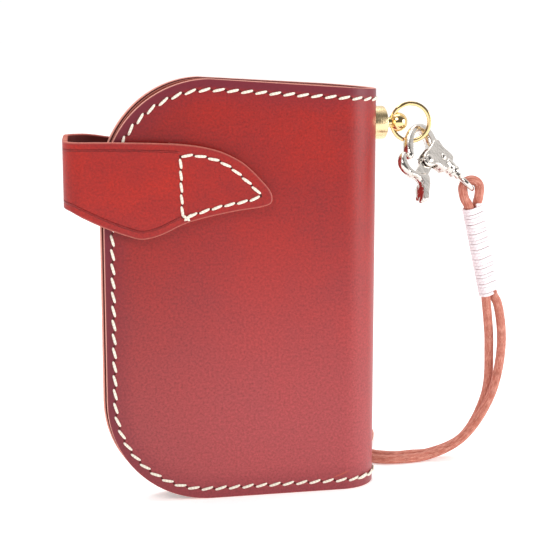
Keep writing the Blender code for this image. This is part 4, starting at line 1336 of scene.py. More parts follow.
@dataclass
class WristCord:
    """Round leather cord in one loop, laid as the frame has it, and its whipping."""

    finishes: Finishes
    radius: float = 0.00135
    steps: int = 8
    sides: int = 20
    hang_from: tuple = (0.02894, -0.00563, 0.08338)
    whip_top: tuple = (0.0301, -0.0045, 0.0776)
    whip_foot: tuple = (0.0364, -0.0036, 0.0525)
    whip_yaw: float = math.radians(21)
    whip_spread: float = 0.00155
    whip_turns: int = 28
    whip_steps: int = 36
    whip_head: float = 0.0009
    whip_gap: float = 0.00008
    whip_wobble: float = 0.00004
    whip_beat: float = 2.3
    thread_half: float = 0.00046
    thread_flat: float = 0.55
    route: tuple = (
        (0.0319, -0.0047, 0.0646), (0.0286, -0.0051, 0.0782), (0.0273, -0.0051, 0.0804),
        (0.02664, -0.00522, 0.0825), (0.02657, -0.00521, 0.084), (0.02737, -0.00535, 0.08528),
        (0.02874, -0.00559, 0.08585), (0.03018, -0.00585, 0.08553), (0.03118, -0.00602, 0.08442),
        (0.03138, -0.00606, 0.08293), (0.0316, -0.0052, 0.0808), (0.0317, -0.0041, 0.0782),
        (0.0347, -0.0036, 0.0654), (0.038, -0.0031, 0.0519), (0.0393, -0.0036, 0.0491),
        (0.0418, -0.002, 0.036), (0.0404, 0.0017, 0.0195), (0.0331, 0.0049, 0.0066),
        (0.0227, 0.0062, 0.0018), (0.0115, 0.0068, 0.00142), (0.0066, 0.0092, 0.00142),
        (0.004, 0.0145, 0.00142), (0.0036, 0.0375, 0.00142), (0.0066, 0.0429, 0.00142),
        (0.0109, 0.0445, 0.00142), (0.0152, 0.0425, 0.00142), (0.0162, 0.0375, 0.00142),
        (0.0096, 0.0234, 0.00142), (0.0068, 0.0184, 0.00142), (0.0076, 0.0142, 0.00142),
        (0.0132, 0.0102, 0.00142), (0.0185, 0.0099, 0.00142), (0.0242, 0.0093, 0.0016),
        (0.0342, 0.0075, 0.0059), (0.0403, 0.0047, 0.0193), (0.0392, 0.0009, 0.0358),
        (0.0373, -0.0018, 0.0434), (0.0358, -0.0034, 0.0494), (0.0352, -0.0041, 0.0515),
        (0.0322, -0.0047, 0.0637),
    )

    def build(self) -> None:
        path = smooth_curve(np.array(self.route), self.steps)
        cord = new_piece("leather_wrist_cord", *swept(path, round_section(self.radius, self.sides)))
        fit_out(cord, self.finishes.cord, "cord_leather", ["wrist_cord"], Body.LANYARD)
        whip = self.build_whipping()
        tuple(self.hang_from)

    def build_whipping(self) -> Object:
        """Winds flat thread round both strands, each turn beside the last.

        A turn follows two half circles about the strands joined by straight sides, while it moves
        along the strands by one thread's width.

        Returns:
            The whipping.
        """
        top, foot = np.array(self.whip_top), np.array(self.whip_foot)
        axis = unit(foot - top)
        top = top - axis * self.whip_head
        level = np.array([math.cos(self.whip_yaw), math.sin(self.whip_yaw), 0.0])
        spread = unit(level - axis * (level @ axis))
        normal = np.cross(axis, spread)
        reach = self.radius + self.whip_gap + self.thread_half * self.thread_flat
        half, straight = math.pi * reach, self.whip_spread
        lap = 2 * half + 4 * straight
        share = np.linspace(0, 1, self.whip_turns * self.whip_steps + 1)
        walked = share * self.whip_turns * lap
        walk = walked % lap
        part = np.searchsorted(np.cumsum([straight, half, 2 * straight, half]), walk, side="right")
        near = np.pi / 2 - (walk - straight) / reach
        far = -np.pi / 2 - (walk - 3 * straight - half) / reach
        first, second = straight + reach * np.cos(near), -straight + reach * np.cos(far)
        x = np.choose(part, [walk, first, 2 * straight + half - walk, second, walk - lap])
        y = np.choose(part, [reach, reach * np.sin(near), -reach, reach * np.sin(far), reach])
        wobble = self.whip_wobble * np.sin(share * self.whip_turns * self.whip_beat)
        along = share * np.linalg.norm(foot - top) + wobble
        path = top + np.outer(along, axis) + np.outer(x, spread) + np.outer(y, normal)
        ahead = unit(np.gradient(path, axis=0))
        side = unit(axis - ahead * (ahead @ axis)[:, None])
        section = round_section(self.thread_half, 10, self.thread_flat, 2.6)
        wound = tube(path, side, np.cross(ahead, side), section, walked=walked)
        whip = new_piece("twine_whipping", *wound)
        return fit_out(whip, self.finishes.whipping, "white_thread", ["cord_whipping"], Body.LANYARD)


def follow_fold(obj: Object, form: WalletForm, side: Side, reach: float = 0.005) -> None:
    """Bakes a piece's place into its mesh; the ends of a short stretch about the fold's axis are worked
    out, but the piece isn't bent.

    Args:
        obj: the piece, which lies along a cover and half of the spine.
        form: the wallet's shared form.
        side: the cover.
        reach: how far those ends lie to each side of the fold's axis.
    """
    ends = [
        (float(x), float(y), form.height / 2)
        for x, y in (form.skin(form.fold_run + step, 0.0, side) for step in (reach, -reach))
    ]
    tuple(ends[0])
    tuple(ends[1])
    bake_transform(obj)


@dataclass
class HideBody:
    """Outer leather, lining and pockets: each cover with its half of the spine."""

    form: WalletForm
    finishes: Finishes
    lining_inset: float = 0.0004
    pocket: float = 0.0006
    pocket_foot: float = 0.006
    tall_pocket: tuple = (0.0105, 0.055, 0.082)
    short_pocket: tuple = (0.0165, 0.049, 0.058)
    magnet_at: tuple = (0.7, 0.53)
    patch_radius: float = 0.0048
    patch_thickness: float = 0.0002
    patch_end: float = 0.00002
    paste: float = 0.00003
    pocket_corner: float = 0.004
    mouth_dip: float = 0.0022

    def build(self) -> None:
        """Builds both halves from the outside inwards."""
        form, looks = self.form, self.finishes
        for side in Side:
            cover = side.body.value
            hide = looks.scuffed_hide if side is Side.FRONT else looks.hide
            outer = self.build_half(f"{cover}_hide", side, 0.0, 0.0, form.leather)
            fit_out(outer, hide, "red_leather", [f"{cover}_cover", "spine_leather"])
            depth, inset = form.lining_depth, self.lining_inset
            inner = self.build_half(f"{cover}_suede", side, depth, inset, form.lining)
            fit_out(inner, looks.suede, "lining_leather", [f"{cover}_lining", "spine_lining"])
            for half in (outer, inner):
                follow_fold(half, form, side)
            pockets = (("card", self.tall_pocket), ("ticket", self.short_pocket))
            for layer, (kind, size) in enumerate(pockets):
                panel = self.build_pocket(f"{cover}_{kind}_slot", side, layer, size)
                fit_out(panel, looks.suede, "lining_leather", [f"{cover}_{kind}_pocket"], side.body)
        self.cover_magnet()

    def cover_magnet(self) -> None:
        """Pastes a round patch of split leather over the front cover's magnet, inside."""
        form, radius = self.form, self.patch_radius
        along, up = self.magnet_at
        middle = (form.loop_x + along * form.tongue_length - form.open_x) / math.cos(form.tilt)
        height = form.tongue_foot + up * form.tongue_depth
        turn = np.linspace(0.0, np.pi, 41)
        runs = middle - radius * np.cos(turn)
        half = np.maximum(radius * np.sin(turn), self.patch_end)
        bend = form.layer(Side.FRONT, form.lining_depth + form.lining + self.paste)
        lines, thickness = (runs, height - half, height + half), self.patch_thickness
        patch = Leaf("magnet_patch", *lines, bend, thickness, rows=16, rounding=0.00015).build()
        fit_out(patch, self.finishes.suede, "lining_leather", body=Body.FRONT)

    def outline(self, side: Side, inset: float) -> tuple:
        """Lower and upper line of a cover with its half of the spine.

        Both corners at the open edge are quarter circles, taken at even angles, and the top line
        falls to the spine.

        Args:
            side: the cover.
            inset: distance inside the outer leather's outline.

        Returns:
            Runs, lower heights and upper heights.
        """
        form = self.form
        corner = form.corner - inset
        turn = np.linspace(0, np.pi / 2, 26)
        arc = inset + corner * (1 - np.cos(turn)) / math.cos(form.tilt)
        flat = np.linspace(arc[-1], form.flat_run, 26)[1:]
        bent = np.linspace(form.flat_run, form.spine_run, 44)[1:]
        runs = np.concatenate([arc, flat, bent[:-1], [form.spine_run - 0.00005, form.spine_run]])
        x, _ = form.skin(runs, np.zeros_like(runs), side)
        into = np.clip(corner - (x - form.open_x - inset), 0, corner)
        rise = corner - np.sqrt(corner**2 - into**2)
        return runs, inset + rise, form.top(runs) - inset - rise

    def build_half(
        self, name: str, side: Side, depth: float, inset: float, thickness: float
    ) -> Object:
        """Builds one layer of one half.

        Args:
            name: the piece's name.
            side: the cover.
            depth: depth of the layer's outside.
            inset: distance inside the outer leather's outline.
            thickness: how thick the layer is.

        Returns:
            The layer.
        """
        lines, bend = self.outline(side, inset), self.form.layer(side, depth)
        return Leaf(name, *lines, bend, thickness, rows=64, open_end=True).build()

    def build_pocket(self, name: str, side: Side, layer: int, size: tuple) -> Object:
        """Builds a pocket panel whose upper corners are rounded and whose mouth dips a little.

        The mouth's line is a shallow half wave, deepest in its middle.

        Args:
            name: the piece's name.
            side: the cover that it is sewn in.
            layer: number of pockets between it and the lining.
            size: run at which it starts, its width and its height.

        Returns:
            The panel.
        """
        form, corner = self.form, self.pocket_corner
        start, width, height = size
        depth = form.lining_depth + form.lining + form.gap + layer * (self.pocket + form.gap)
        share = (1 - np.cos(np.linspace(0, np.pi, 40))) / 2
        runs = start + width * share
        near_end = np.minimum(runs - start, start + width - runs)
        rounded = corner - np.sqrt(corner**2 - np.clip(corner - near_end, 0, corner) ** 2)
        dip = self.mouth_dip * np.sin(np.pi * share) ** 2
        low = self.pocket_foot + 0.25 * rounded
        high = self.pocket_foot + height - rounded - dip
        bend = form.layer(side, depth)
        return Leaf(name, runs, low, high, bend, self.pocket, rows=30, rounding=0.0002).build()


@dataclass
class SaddleStitch:
    """Saddle stitches of waxed thread with the awl holes between them.

    A stitch is a strand that dives at both ends: its height is one minus a fourth power of the
    distance from its middle, and its width closes at the ends as the root of one minus a like
    power. A hole has half of its length and width here, and the rises of its rim, crown and floor.
    """

    width: float = 0.00078
    height: float = 0.0006
    share: float = 0.88
    slant: float = math.radians(15)
    stations: int = 9
    sides: int = 8
    hole_half: tuple = (0.00036, 0.0003)
    hole_rises: tuple = (0.00002, 0.00006, -0.0001)
    hole_points: int = 10

    def sew(
        self, name: str, line: Array, pitch: float, bend: Bend, inside: float = 0.0, pierced: bool = True
    ) -> tuple:
        """Sews along a line.

        Args:
            name: name for the thread; the holes' name adds a word to it.
            line: the seam's points, as runs and heights.
            pitch: distance from one hole to the next.
            bend: place at a run and a depth below the surface.
            inside: depth of the surface that it shows on, for stitches seen from inside.
            pierced: whether it gets holes of its own, which a second pass over a seam doesn't.

        Returns:
            The thread, and the holes or None.
        """
        length = lengths(line)[-1]
        count = max(1, round(length / pitch))
        holes = evenly(line, count + 1)
        a, b = holes[:-1], holes[1:]
        heading = unit(b - a)
        across = np.stack([-heading[:, 1], heading[:, 0]], -1)
        step = length / count
        off = step * self.share / 2 * math.sin(self.slant)
        start = a + heading * step * (1 - self.share) / 2 - across * off
        end = b - heading * step * (1 - self.share) / 2 + across * off
        along = (1 - np.cos(np.linspace(0, np.pi, self.stations))) / 2
        bulge = np.sqrt(np.clip(1 - np.abs(2 * along - 1) ** 3.5, 0, 1))
        bulge[[0, -1]] = 0.25
        lift = -0.3 * self.height + 0.62 * self.height * (1 - np.abs(2 * along - 1) ** 4)
        turn = np.linspace(0, 2 * np.pi, self.sides, endpoint=False)
        lateral = self.width / 2 * bulge[:, None] * np.cos(turn)
        rise = lift[:, None] + self.height / 2 * bulge[:, None] * np.sin(turn)
        middle = start[:, None] + (end - start)[:, None] * along[None, :, None]
        flat = middle[:, :, None] + across[:, None, None] * lateral[None, :, :, None]
        rises = np.broadcast_to(rise, flat.shape[:-1])
        poles = np.stack([start, end], 1)
        pole_rise = np.broadcast_to(lift[[0, -1]], (count, 2))
        one = self.stations * self.sides
        flat = np.concatenate([flat.reshape(count, one, 2), poles], 1).reshape(-1, 2)
        rises = np.concatenate([rises.reshape(count, one), pole_rise], 1).ravel()
        shift = (np.arange(count) * (one + 2))[:, None, None]
        walls = ring_faces(self.stations, self.sides, capped=True)
        faces = [(f[None] + shift).reshape(-1, f.shape[1]) for f in walls]
        x, y = bend(flat[:, 0], inside + rises if inside else -rises)
        points = np.stack([x, y, flat[:, 1]], -1)
        round_share = np.tile(np.abs(2 * np.arange(self.sides) / self.sides - 1), self.stations)
        uv = np.stack([np.repeat(along * step, self.sides) / UV_SPAN, round_share], -1)
        uv = np.tile(np.concatenate([uv, uv[:1], uv[-1:]]), (count, 1))
        thread = new_piece(name, points, faces, uv)
        return thread, self.punch(f"{name}_holes", holes, heading, bend, inside) if pierced else None

    def punch(self, name: str, holes: Array, heading: Array, bend: Bend, inside: float) -> Object:
        """Makes a thin dark lens at each hole, a little proud of the surface, as painted shade for the
        hole.

        Args:
            name: name for the holes.
            holes: their flat places.
            heading: direction from each hole but the last to the next.
            bend: place at a run and a depth below the surface.
            inside: depth of the surface that they show on, as for sew().

        Returns:
            The lenses in one piece.
        """
        heading = np.concatenate([heading, heading[-1:]])
        across = np.stack([-heading[:, 1], heading[:, 0]], -1)
        count, (half_length, half_width) = self.hole_points, self.hole_half
        turn = np.linspace(0, 2 * np.pi, count, endpoint=False)
        ring = (
            heading[:, None] * half_length * np.cos(turn)[None, :, None]
            + across[:, None] * half_width * np.sin(turn)[None, :, None]
        )
        flat = np.concatenate([holes[:, None] + ring, holes[:, None], holes[:, None]], 1)
        rim, crown, floor = self.hole_rises
        rise = np.array([rim] * count + [crown, floor])
        rises = np.broadcast_to(rise, flat.shape[:-1]).ravel()
        x, y = bend(flat[..., 0].ravel(), inside + rises if inside else -rises)
        points = np.stack([x, y, flat[..., 1].ravel()], -1)
        shift = (np.arange(len(holes)) * (count + 2))[:, None, None]
        around = np.arange(count)
        faces = [fan_faces(around, count), fan_faces(around[::-1], count + 1)]
        faces = [(f[None] + shift).reshape(-1, 3) for f in faces]
        return new_piece(name, points, faces)


@dataclass
class CoverSeams:
    """The seam round each cover and over the spine, seen outside and inside."""

    form: WalletForm
    finishes: Finishes
    pitch: float = 0.00385
    open_shift: float = 0.0008
    lock_rise: float = 0.0004
    lock_fall: float = 0.0002
    lock_stitches: int = 3
    stitch: SaddleStitch = field(default_factory=SaddleStitch)

    def line(self) -> Array:
        """Runs and heights from the spine's foot round the open edge to the spine's top."""
        form, inset = self.form, self.form.seam_inset
        radius = form.corner - inset
        turn = np.linspace(0, np.pi / 2, 30)
        lower = np.stack([inset + radius * (1 - np.sin(turn)), inset + radius * (1 - np.cos(turn))], -1)
        upper = np.stack(
            [inset + radius * (1 - np.cos(turn)), form.height - inset - radius * (1 - np.sin(turn))], -1
        )
        runs = np.linspace(form.corner, form.spine_run - self.pitch / 2, 40)[1:]
        top = np.stack([runs, form.top(runs) - inset], -1)
        foot = [[form.spine_run - self.pitch / 2, inset]]
        line = np.concatenate([foot, lower, upper, top])
        line[:, 0] -= self.open_shift * np.clip(1 - line[:, 0] / form.corner, 0, 1)
        return line

    def build(self) -> None:
        """Sews both halves."""
        form, looks = self.form, self.finishes
        lining = SaddleStitch(width=0.0007, height=0.0004)
        inner = form.lining_depth + form.lining
        for side in Side:
            cover, bend = side.body.value, form.layer(side, 0.0)
            thread, holes = self.stitch.sew(f"{cover}_edge_thread", self.line(), self.pitch, bend)
            hidden, dents = lining.sew(f"{cover}_inner_thread", self.line(), self.pitch, bend, inner)
            nodes = (f"{cover}_cover_stitches", "spine_foot_stitches", "spine_top_stitches")
            for obj, look, slot, stood_for in (
                (thread, looks.thread, "cream_thread", nodes),
                (hidden, looks.thread, "cream_thread", ()),
                (self.lock(side), looks.thread, "cream_thread", ()),
                (holes, looks.hole, None, ()),
                (dents, looks.hole, None, ()),
            ):
                follow_fold(fit_out(obj, look, slot, stood_for), form, side)

    def lock(self, side: Side) -> Object:
        """Sews the seam's last stitches again at the spine's foot, half a thread higher.

        Args:
            side: the cover that the seam goes along.

        Returns:
            The thread.
        """
        start = self.form.spine_run - 0.75 * self.pitch
        end = start - self.lock_stitches * self.pitch
        height = self.form.seam_inset + self.lock_rise
        line = np.array([[start, height], [end, height - self.lock_fall]])
        raised = self.form.layer(side, -self.stitch.height / 2)
        name = f"{side.body.value}_lock_thread"
        return self.stitch.sew(name, line, self.pitch, raised, pierced=False)[0]


@dataclass
class ClosingStrap:
    """Strap from the rear cover round the open edge to its pointed tongue."""

    form: WalletForm
    finishes: Finishes
    pitch: float = 0.0035
    backing_from: float = 0.5
    tongue_shares: tuple = (
        (0.0, 1.0), (0.214, 0.992), (0.45, 0.975), (0.58, 0.953), (0.665, 0.925), (0.745, 0.878),
        (0.8, 0.825), (0.853, 0.76), (0.9, 0.676), (0.949, 0.568), (0.988, 0.467), (1.0, 0.39),
        (0.992, 0.335), (0.955, 0.302), (0.819, 0.263), (0.672, 0.206), (0.564, 0.145),
        (0.458, 0.046), (0.4, 0.01), (0.35, 0.0), (0.28, 0.042), (0.174, 0.13), (0.07, 0.237),
        (0.0, 0.32),
    )
    anchor_shares: tuple = (
        (0.0, 1.0), (0.6, 0.985), (0.87, 0.95), (0.96, 0.87), (1.0, 0.72), (1.0, 0.54), (0.96, 0.39),
        (0.87, 0.32), (0.6, 0.3), (0.0, 0.32),
    )
    tip_seams: tuple = (
        ((0.546, 0.825), (0.548, 0.64), (0.55, 0.43), (0.553, 0.221)),
        (
            (0.546, 0.842), (0.61, 0.848), (0.674, 0.824), (0.76, 0.76), (0.819, 0.668), (0.883, 0.55),
            (0.94, 0.425),
        ),
        ((0.94, 0.41), (0.883, 0.372), (0.738, 0.317), (0.63, 0.256), (0.57, 0.215)),
    )
    anchor_seam: tuple = (
        (0.56, 0.37), (0.555, 0.65), (0.56, 0.92), (0.74, 0.91), (0.86, 0.86), (0.915, 0.77),
        (0.93, 0.63), (0.91, 0.49), (0.85, 0.41), (0.73, 0.375), (0.59, 0.37),
    )
    knot_ends: tuple = (
        ((0.548, 0.25), (0.565, 0.215), (0.59, 0.18)),
        ((0.56, 0.185), (0.575, 0.215), (0.598, 0.252)),
    )
    knot_pitch: float = 0.004
    knot_width: float = 0.0008
    rear_rise: float = 0.0016
    rise_full: float = 0.003
    rise_end: float = 0.022
    rise_fade: float = 0.014
    crease_stops: tuple = (0.547, 0.555)
    crease_fade: float = 0.001
    bend_half: float = 0.0034

    def lines(self, shares: tuple, length: float, count: int, start: float = 0.0) -> tuple:
        """Lower and upper line of a leaf, over the same distances from the loop's outer end.

        The outline is smoothed, split at its furthest point, and both parts are read off at
        distances that crowd together towards that point.

        Args:
            shares: outline points as shares of the leaf's length and of the tongue's depth.
            length: the leaf's length along X.
            count: number of distances.
            start: share of the length at which to start.

        Returns:
            X distances from the loop's outer end, lower heights and upper heights.
        """
        form = self.form
        outline = smooth_curve(np.array(shares) * (length, form.tongue_depth), 10)
        far = int(outline[:, 0].argmax())
        tip = outline[far, 0]
        share = start + (1 - start) * np.sin(np.linspace(0, np.pi / 2, count))
        across = np.minimum(share * tip, tip - 0.00003)
        high = np.interp(across, outline[: far + 1, 0], outline[: far + 1, 1])
        back = outline[far:][::-1]
        low = np.interp(across, back[:, 0], back[:, 1])
        return across, low + form.tongue_foot, high + form.tongue_foot

    def run_at(self, across: Array) -> Array:
        """Run on the strap at an X distance from the loop's outer end.

        Args:
            across: X distances.

        Returns:
            One run for each.
        """
        form = self.form
        turn = math.pi / 2 - form.tilt
        straight_from = form.loop_radius * (1 - math.sin(form.tilt))
        bent = form.loop_radius * np.arccos(np.clip(1 - across / form.loop_radius, -1, 1))
        straight = form.loop_radius * turn + (across - straight_from) / math.cos(form.tilt)
        return np.where(across < straight_from, bent, straight)

    def build(self) -> None:
        """Builds the strap in one leaf, its two backings and its seams."""
        form = self.form
        across, low, high = self.lines(self.tongue_shares, form.tongue_length, 110)
        back, back_low, back_high = self.lines(self.anchor_shares, form.anchor_length, 70)
        extra = np.linspace(0, form.loop_radius * 1.4, 24)[1:]
        runs, low, high = self.refined(self.run_at(across), low, high, extra)
        back_runs, back_low, back_high = self.refined(self.run_at(back), back_low, back_high, extra)
        fading = np.clip((self.rise_end - back_runs) / self.rise_fade, 0, 1)
        rise = np.clip(back_runs / self.rise_full, 0, 1) * fading
        back_high = back_high + self.rear_rise * rise * rise * (3 - 2 * rise)
        runs = np.concatenate([-back_runs[::-1], runs[1:]])
        low = np.concatenate([back_low[::-1], low[1:]])
        high = np.concatenate([back_high[::-1], high[1:]])
        front_stop, rear_stop = (
            float(self.run_at(np.array([share * length]))[0])
            for share, length in zip(self.crease_stops, (form.tongue_length, form.anchor_length))
        )

        def creased(run: Array) -> Array:
            """One between the two seams that the creases end at, and zero past them."""
            front = np.clip((front_stop - run) / self.crease_fade, 0, 1)
            return front * np.clip((run + rear_stop) / self.crease_fade, 0, 1)

        lines, thickness = (runs, low, high), form.strap_leather
        leaf = Leaf("closing_strap", *lines, form.loop, thickness, rows=44, rounding=0.00045)
        strap = leaf.build(creased)
        fit_out(strap, self.finishes.strap_hide, "red_leather", ["strap_tongue", "strap_anchor"])
        middle = form.tongue_foot + form.tongue_depth / 2
        start, end = ((form.loop_x, sign * self.bend_half, middle) for sign in (1, -1))
        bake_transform(strap)
        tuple(start)
        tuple(end)
        hide, slot = self.finishes.strap_hide, "lining_leather"
        patch = self.build_backing("tongue_patch", self.tongue_shares, form.tongue_length, Side.FRONT)
        fit_out(patch, hide, slot, ["strap_backing"], Body.STRAP)
        patch = self.build_backing("anchor_patch", self.anchor_shares, form.anchor_length, Side.REAR)
        fit_out(patch, hide, slot, ["anchor_backing"], Body.REAR)
        self.sew_tip()
        self.sew_anchor()

    def refined(self, runs: Array, low: Array, high: Array, extra: Array) -> tuple:
        """Adds runs round the loop, with both lines read off between their points.

        Args:
            runs: the strap's runs.
            low: its lower heights.
            high: its upper heights.
            extra: the runs to add.

        Returns:
            All runs, with the lower and the upper heights.
        """
        more = np.unique(np.concatenate([runs, extra]))
        keep = np.concatenate([[True], np.diff(more) > 0.00004])
        keep[-1] = True
        more = more[keep]
        return more, np.interp(more, runs, low), np.interp(more, runs, high)

    def build_backing(self, name: str, shares: tuple, length: float, side: Side) -> Object:
        """Builds the thin patch between a sewn end and the cover.

        Args:
            name: the piece's name.
            shares: the sewn end's outline points.
            length: the sewn end's length along X.
            side: the cover that it lies on.

        Returns:
            The patch.
        """
        form = self.form
        across, low, high = self.lines(shares, length, 60, self.backing_from)
        runs = (form.loop_x + across - form.open_x) / math.cos(form.tilt)
        bend = form.layer(side, -form.gap - form.backing)
        leaf = Leaf(name, runs, low, high, bend, form.backing, rows=26, rounding=0.0002)
        return leaf.build(np.zeros_like)

    def seam_line(self, shares: Sequence, length: float) -> Array:
        """A seam's points, as runs on the strap and heights.

        Args:
            shares: points as shares of the length and of the tongue's depth.
            length: the leaf's length along X.

        Returns:
            The smoothed seam.
        """
        form = self.form
        line = smooth_curve(np.array(shares) * (length, form.tongue_depth), 8)
        return np.stack([self.run_at(line[:, 0]), line[:, 1] + form.tongue_foot], -1)

    def sew_tip(self) -> None:
        """Sews the tongue's triangle: an upright line and two that meet at the tip."""
        stitch = SaddleStitch(slant=math.radians(7), share=0.92)
        for number, shares in enumerate(self.tip_seams):
            line = self.seam_line(shares, self.form.tongue_length)
            name = f"tongue_thread_{'abc'[number]}"
            thread, holes = stitch.sew(name, line, self.pitch, self.form.loop)
            fit_out(thread, self.finishes.thread, "cream_thread", ["tongue_stitches"], Body.STRAP)
            fit_out(holes, self.finishes.hole, body=Body.STRAP)
        self.tie_knot()

    def tie_knot(self) -> None:
        """Crosses the two thread ends over each other at the triangle's lower corner."""
        stitch = SaddleStitch(width=self.knot_width, slant=0.0, share=0.96)
        form = self.form
        for number, shares in enumerate(self.knot_ends):
            line = self.seam_line(shares, form.tongue_length)
            rise = stitch.height * (0.45 + 0.4 * number)

            def raised(run: Array, into: Array, rise: float = rise) -> tuple:
                """Place on the strap, lifted off the stitches below."""
                return form.loop(run, into - rise)

            name = f"knot_end_{'ab'[number]}"
            end, _ = stitch.sew(name, line, self.knot_pitch, raised, pierced=False)
            fit_out(end, self.finishes.thread, "cream_thread", body=Body.STRAP)

    def sew_anchor(self) -> None:
        """Sews the strap's rear end to the rear cover."""
        line = self.seam_line(self.anchor_seam, self.form.anchor_length) * (-1, 1)
        thread, holes = SaddleStitch().sew("anchor_thread", line, self.pitch, self.form.loop)
        fit_out(thread, self.finishes.thread, "cream_thread", ["anchor_stitches"], Body.REAR)
        fit_out(holes, self.finishes.hole, body=Body.REAR)


@dataclass
class SwivelStud:
    """Turned brass base on the spine, and the polished ball post that turns in it."""

    form: WalletForm
    finishes: Finishes
    base_radius: float = 0.0047
    base_thickness: float = 0.0026
    saddle: float = 0.00115
    sleeve_radius: float = 0.0016
    sleeve_bore: float = 0.0009
    socket_radius: float = 0.0017
    socket_depth: float = 0.0014
    ball_radius: float = 0.00275
    ball_reach: float = 0.0084
    neck_radius: float = 0.0014
    hole_radius: float = 0.00108
    slack: float = 0.00003
    rim_rounding: float = 0.00022
    collar: float = 0.0004
    spine_half: float = 0.008
    drill_half: float = 0.004

    def place(self) -> Matrix:
        """Where the stud's axis leaves the spine, with Z outwards."""
        start = Matrix.Translation((self.form.leather / 2, 0, self.form.stud_height))
        return start @ Matrix.Rotation(math.pi / 2, 4, "Y")

    def build(self) -> None:
        """Builds the base and the ball post."""
        form = self.form
        top = form.gap + self.base_thickness
        lower = -form.lining_depth - form.lining
        socket = top - self.socket_depth
        outside, inside, bore = self.base_radius, self.sleeve_radius, self.socket_radius
        wall = [(outside, top), (outside, -self.saddle), (inside, -self.saddle), (inside, socket)]
        profile = (*wall, (bore, socket), (bore, top))
        drum = new_piece("stud_drum", *lathed(profile, 96, self.place(), self.rim_rounding), sharp=50)
        height, half = form.stud_height, self.spine_half
        spine = rod(form.spine_radius + self.slack, height + half, height - half)
        shape = lathed(spine, 180, Matrix.Translation((form.spine_x, 0, 0)))
        cut_away(drum, new_piece("spine_shape", *shape))
        outside, end = self.sleeve_radius - self.slack, socket - 0.00005
        wall = ((outside, end), (outside, lower), (self.sleeve_bore, lower), (self.sleeve_bore, end))
        sleeve = new_piece("stud_sleeve", *lathed(wall, 40, self.place()), sharp=50)
        for part in (drum, sleeve):
            fit_out(part, self.finishes.brushed_brass, "brass", ["stud_base"], Body.SPINE)
        self.build_ball(socket + form.gap)

    def build_ball(self, neck_end: float) -> None:
        """Builds the ball on its neck, with the ring's hole drilled through it.

        Args:
            neck_end: distance along the stud at which the neck ends.
        """
        centre = self.ball_reach - self.form.leather / 2
        neck_angle = math.asin(self.neck_radius / self.ball_radius)
        turn = np.linspace(0, math.pi - neck_angle, 30)
        ball = np.stack(
            [self.ball_radius * np.sin(turn), centre + self.ball_radius * np.cos(turn)], -1
        ).tolist()
        collar = ball[-1][1] - self.collar
        profile = [(0.0, centre + self.ball_radius), *ball[1:], (self.neck_radius, collar)]
        profile += [(self.neck_radius, neck_end), (0.0, neck_end)]
        post = new_piece("ball_stud", *lathed(profile, 64, self.place()), sharp=50)
        hole = Matrix.Translation((self.form.hole_reach, 0, self.form.stud_height))
        tool = rod(self.hole_radius, self.drill_half, -self.drill_half)
        drill = new_piece("drill", *lathed(tool, 40, hole))
        fit_out(cut_away(post, drill), self.finishes.brass, "brass", ["ball_post"], Body.POST)


@dataclass
class SplitRing:
    """Two turns of flat spring wire that lie side by side, with a step where they change over."""

    form: WalletForm
    finishes: Finishes
    radius: float = 0.00527
    wire: float = 0.00055
    sag: float = 0.00022
    spread: float = 1.04
    wire_share: float = 0.98
    wire_height: float = 2.2
    yaw: float = math.radians(-20)
    step_half: float = math.radians(20)
    step_at: float = math.radians(112)

    def heading(self) -> Vector:
        """Level direction from the ball's hole to the ring's middle."""
        return Vector((math.cos(self.yaw), math.sin(self.yaw), 0))

    def centre(self) -> Vector:
        """The ring's middle."""
        start = Vector((self.form.hole_reach, 0, self.form.stud_height))
        return start + self.heading() * (self.radius - self.sag)

    def build(self) -> None:
        """Winds the ring: an angle that runs on for two turns, shifted sideways in the step."""
        turn = np.linspace(self.step_half, 4 * np.pi - self.step_half, 260)
        change = np.clip((turn - 2 * np.pi + self.step_half) / (2 * self.step_half), 0, 1)
        half = self.wire / 2
        shift = half * (2 * change * change * (3 - 2 * change) - 1) * self.spread
        heading, up = np.array(self.heading()), np.array((0.0, 0.0, 1.0))
        axis = np.cross(heading, up)
        angle = turn + self.step_at
        out = np.outer(np.cos(angle), heading) + np.outer(np.sin(angle), up)
        path = np.array(self.centre()) + self.radius * out + np.outer(shift, axis)
        section = round_section(half * self.wire_share, 14, 1.0, 3.0) * (1.0, self.wire_height)
        points, faces, _ = tube(path, np.broadcast_to(axis, path.shape), out, section)
        ring = new_piece("split_key_ring", points, faces, sharp=60)
        fit_out(ring, self.finishes.brass, "brass", ["split_ring"], Body.RING)


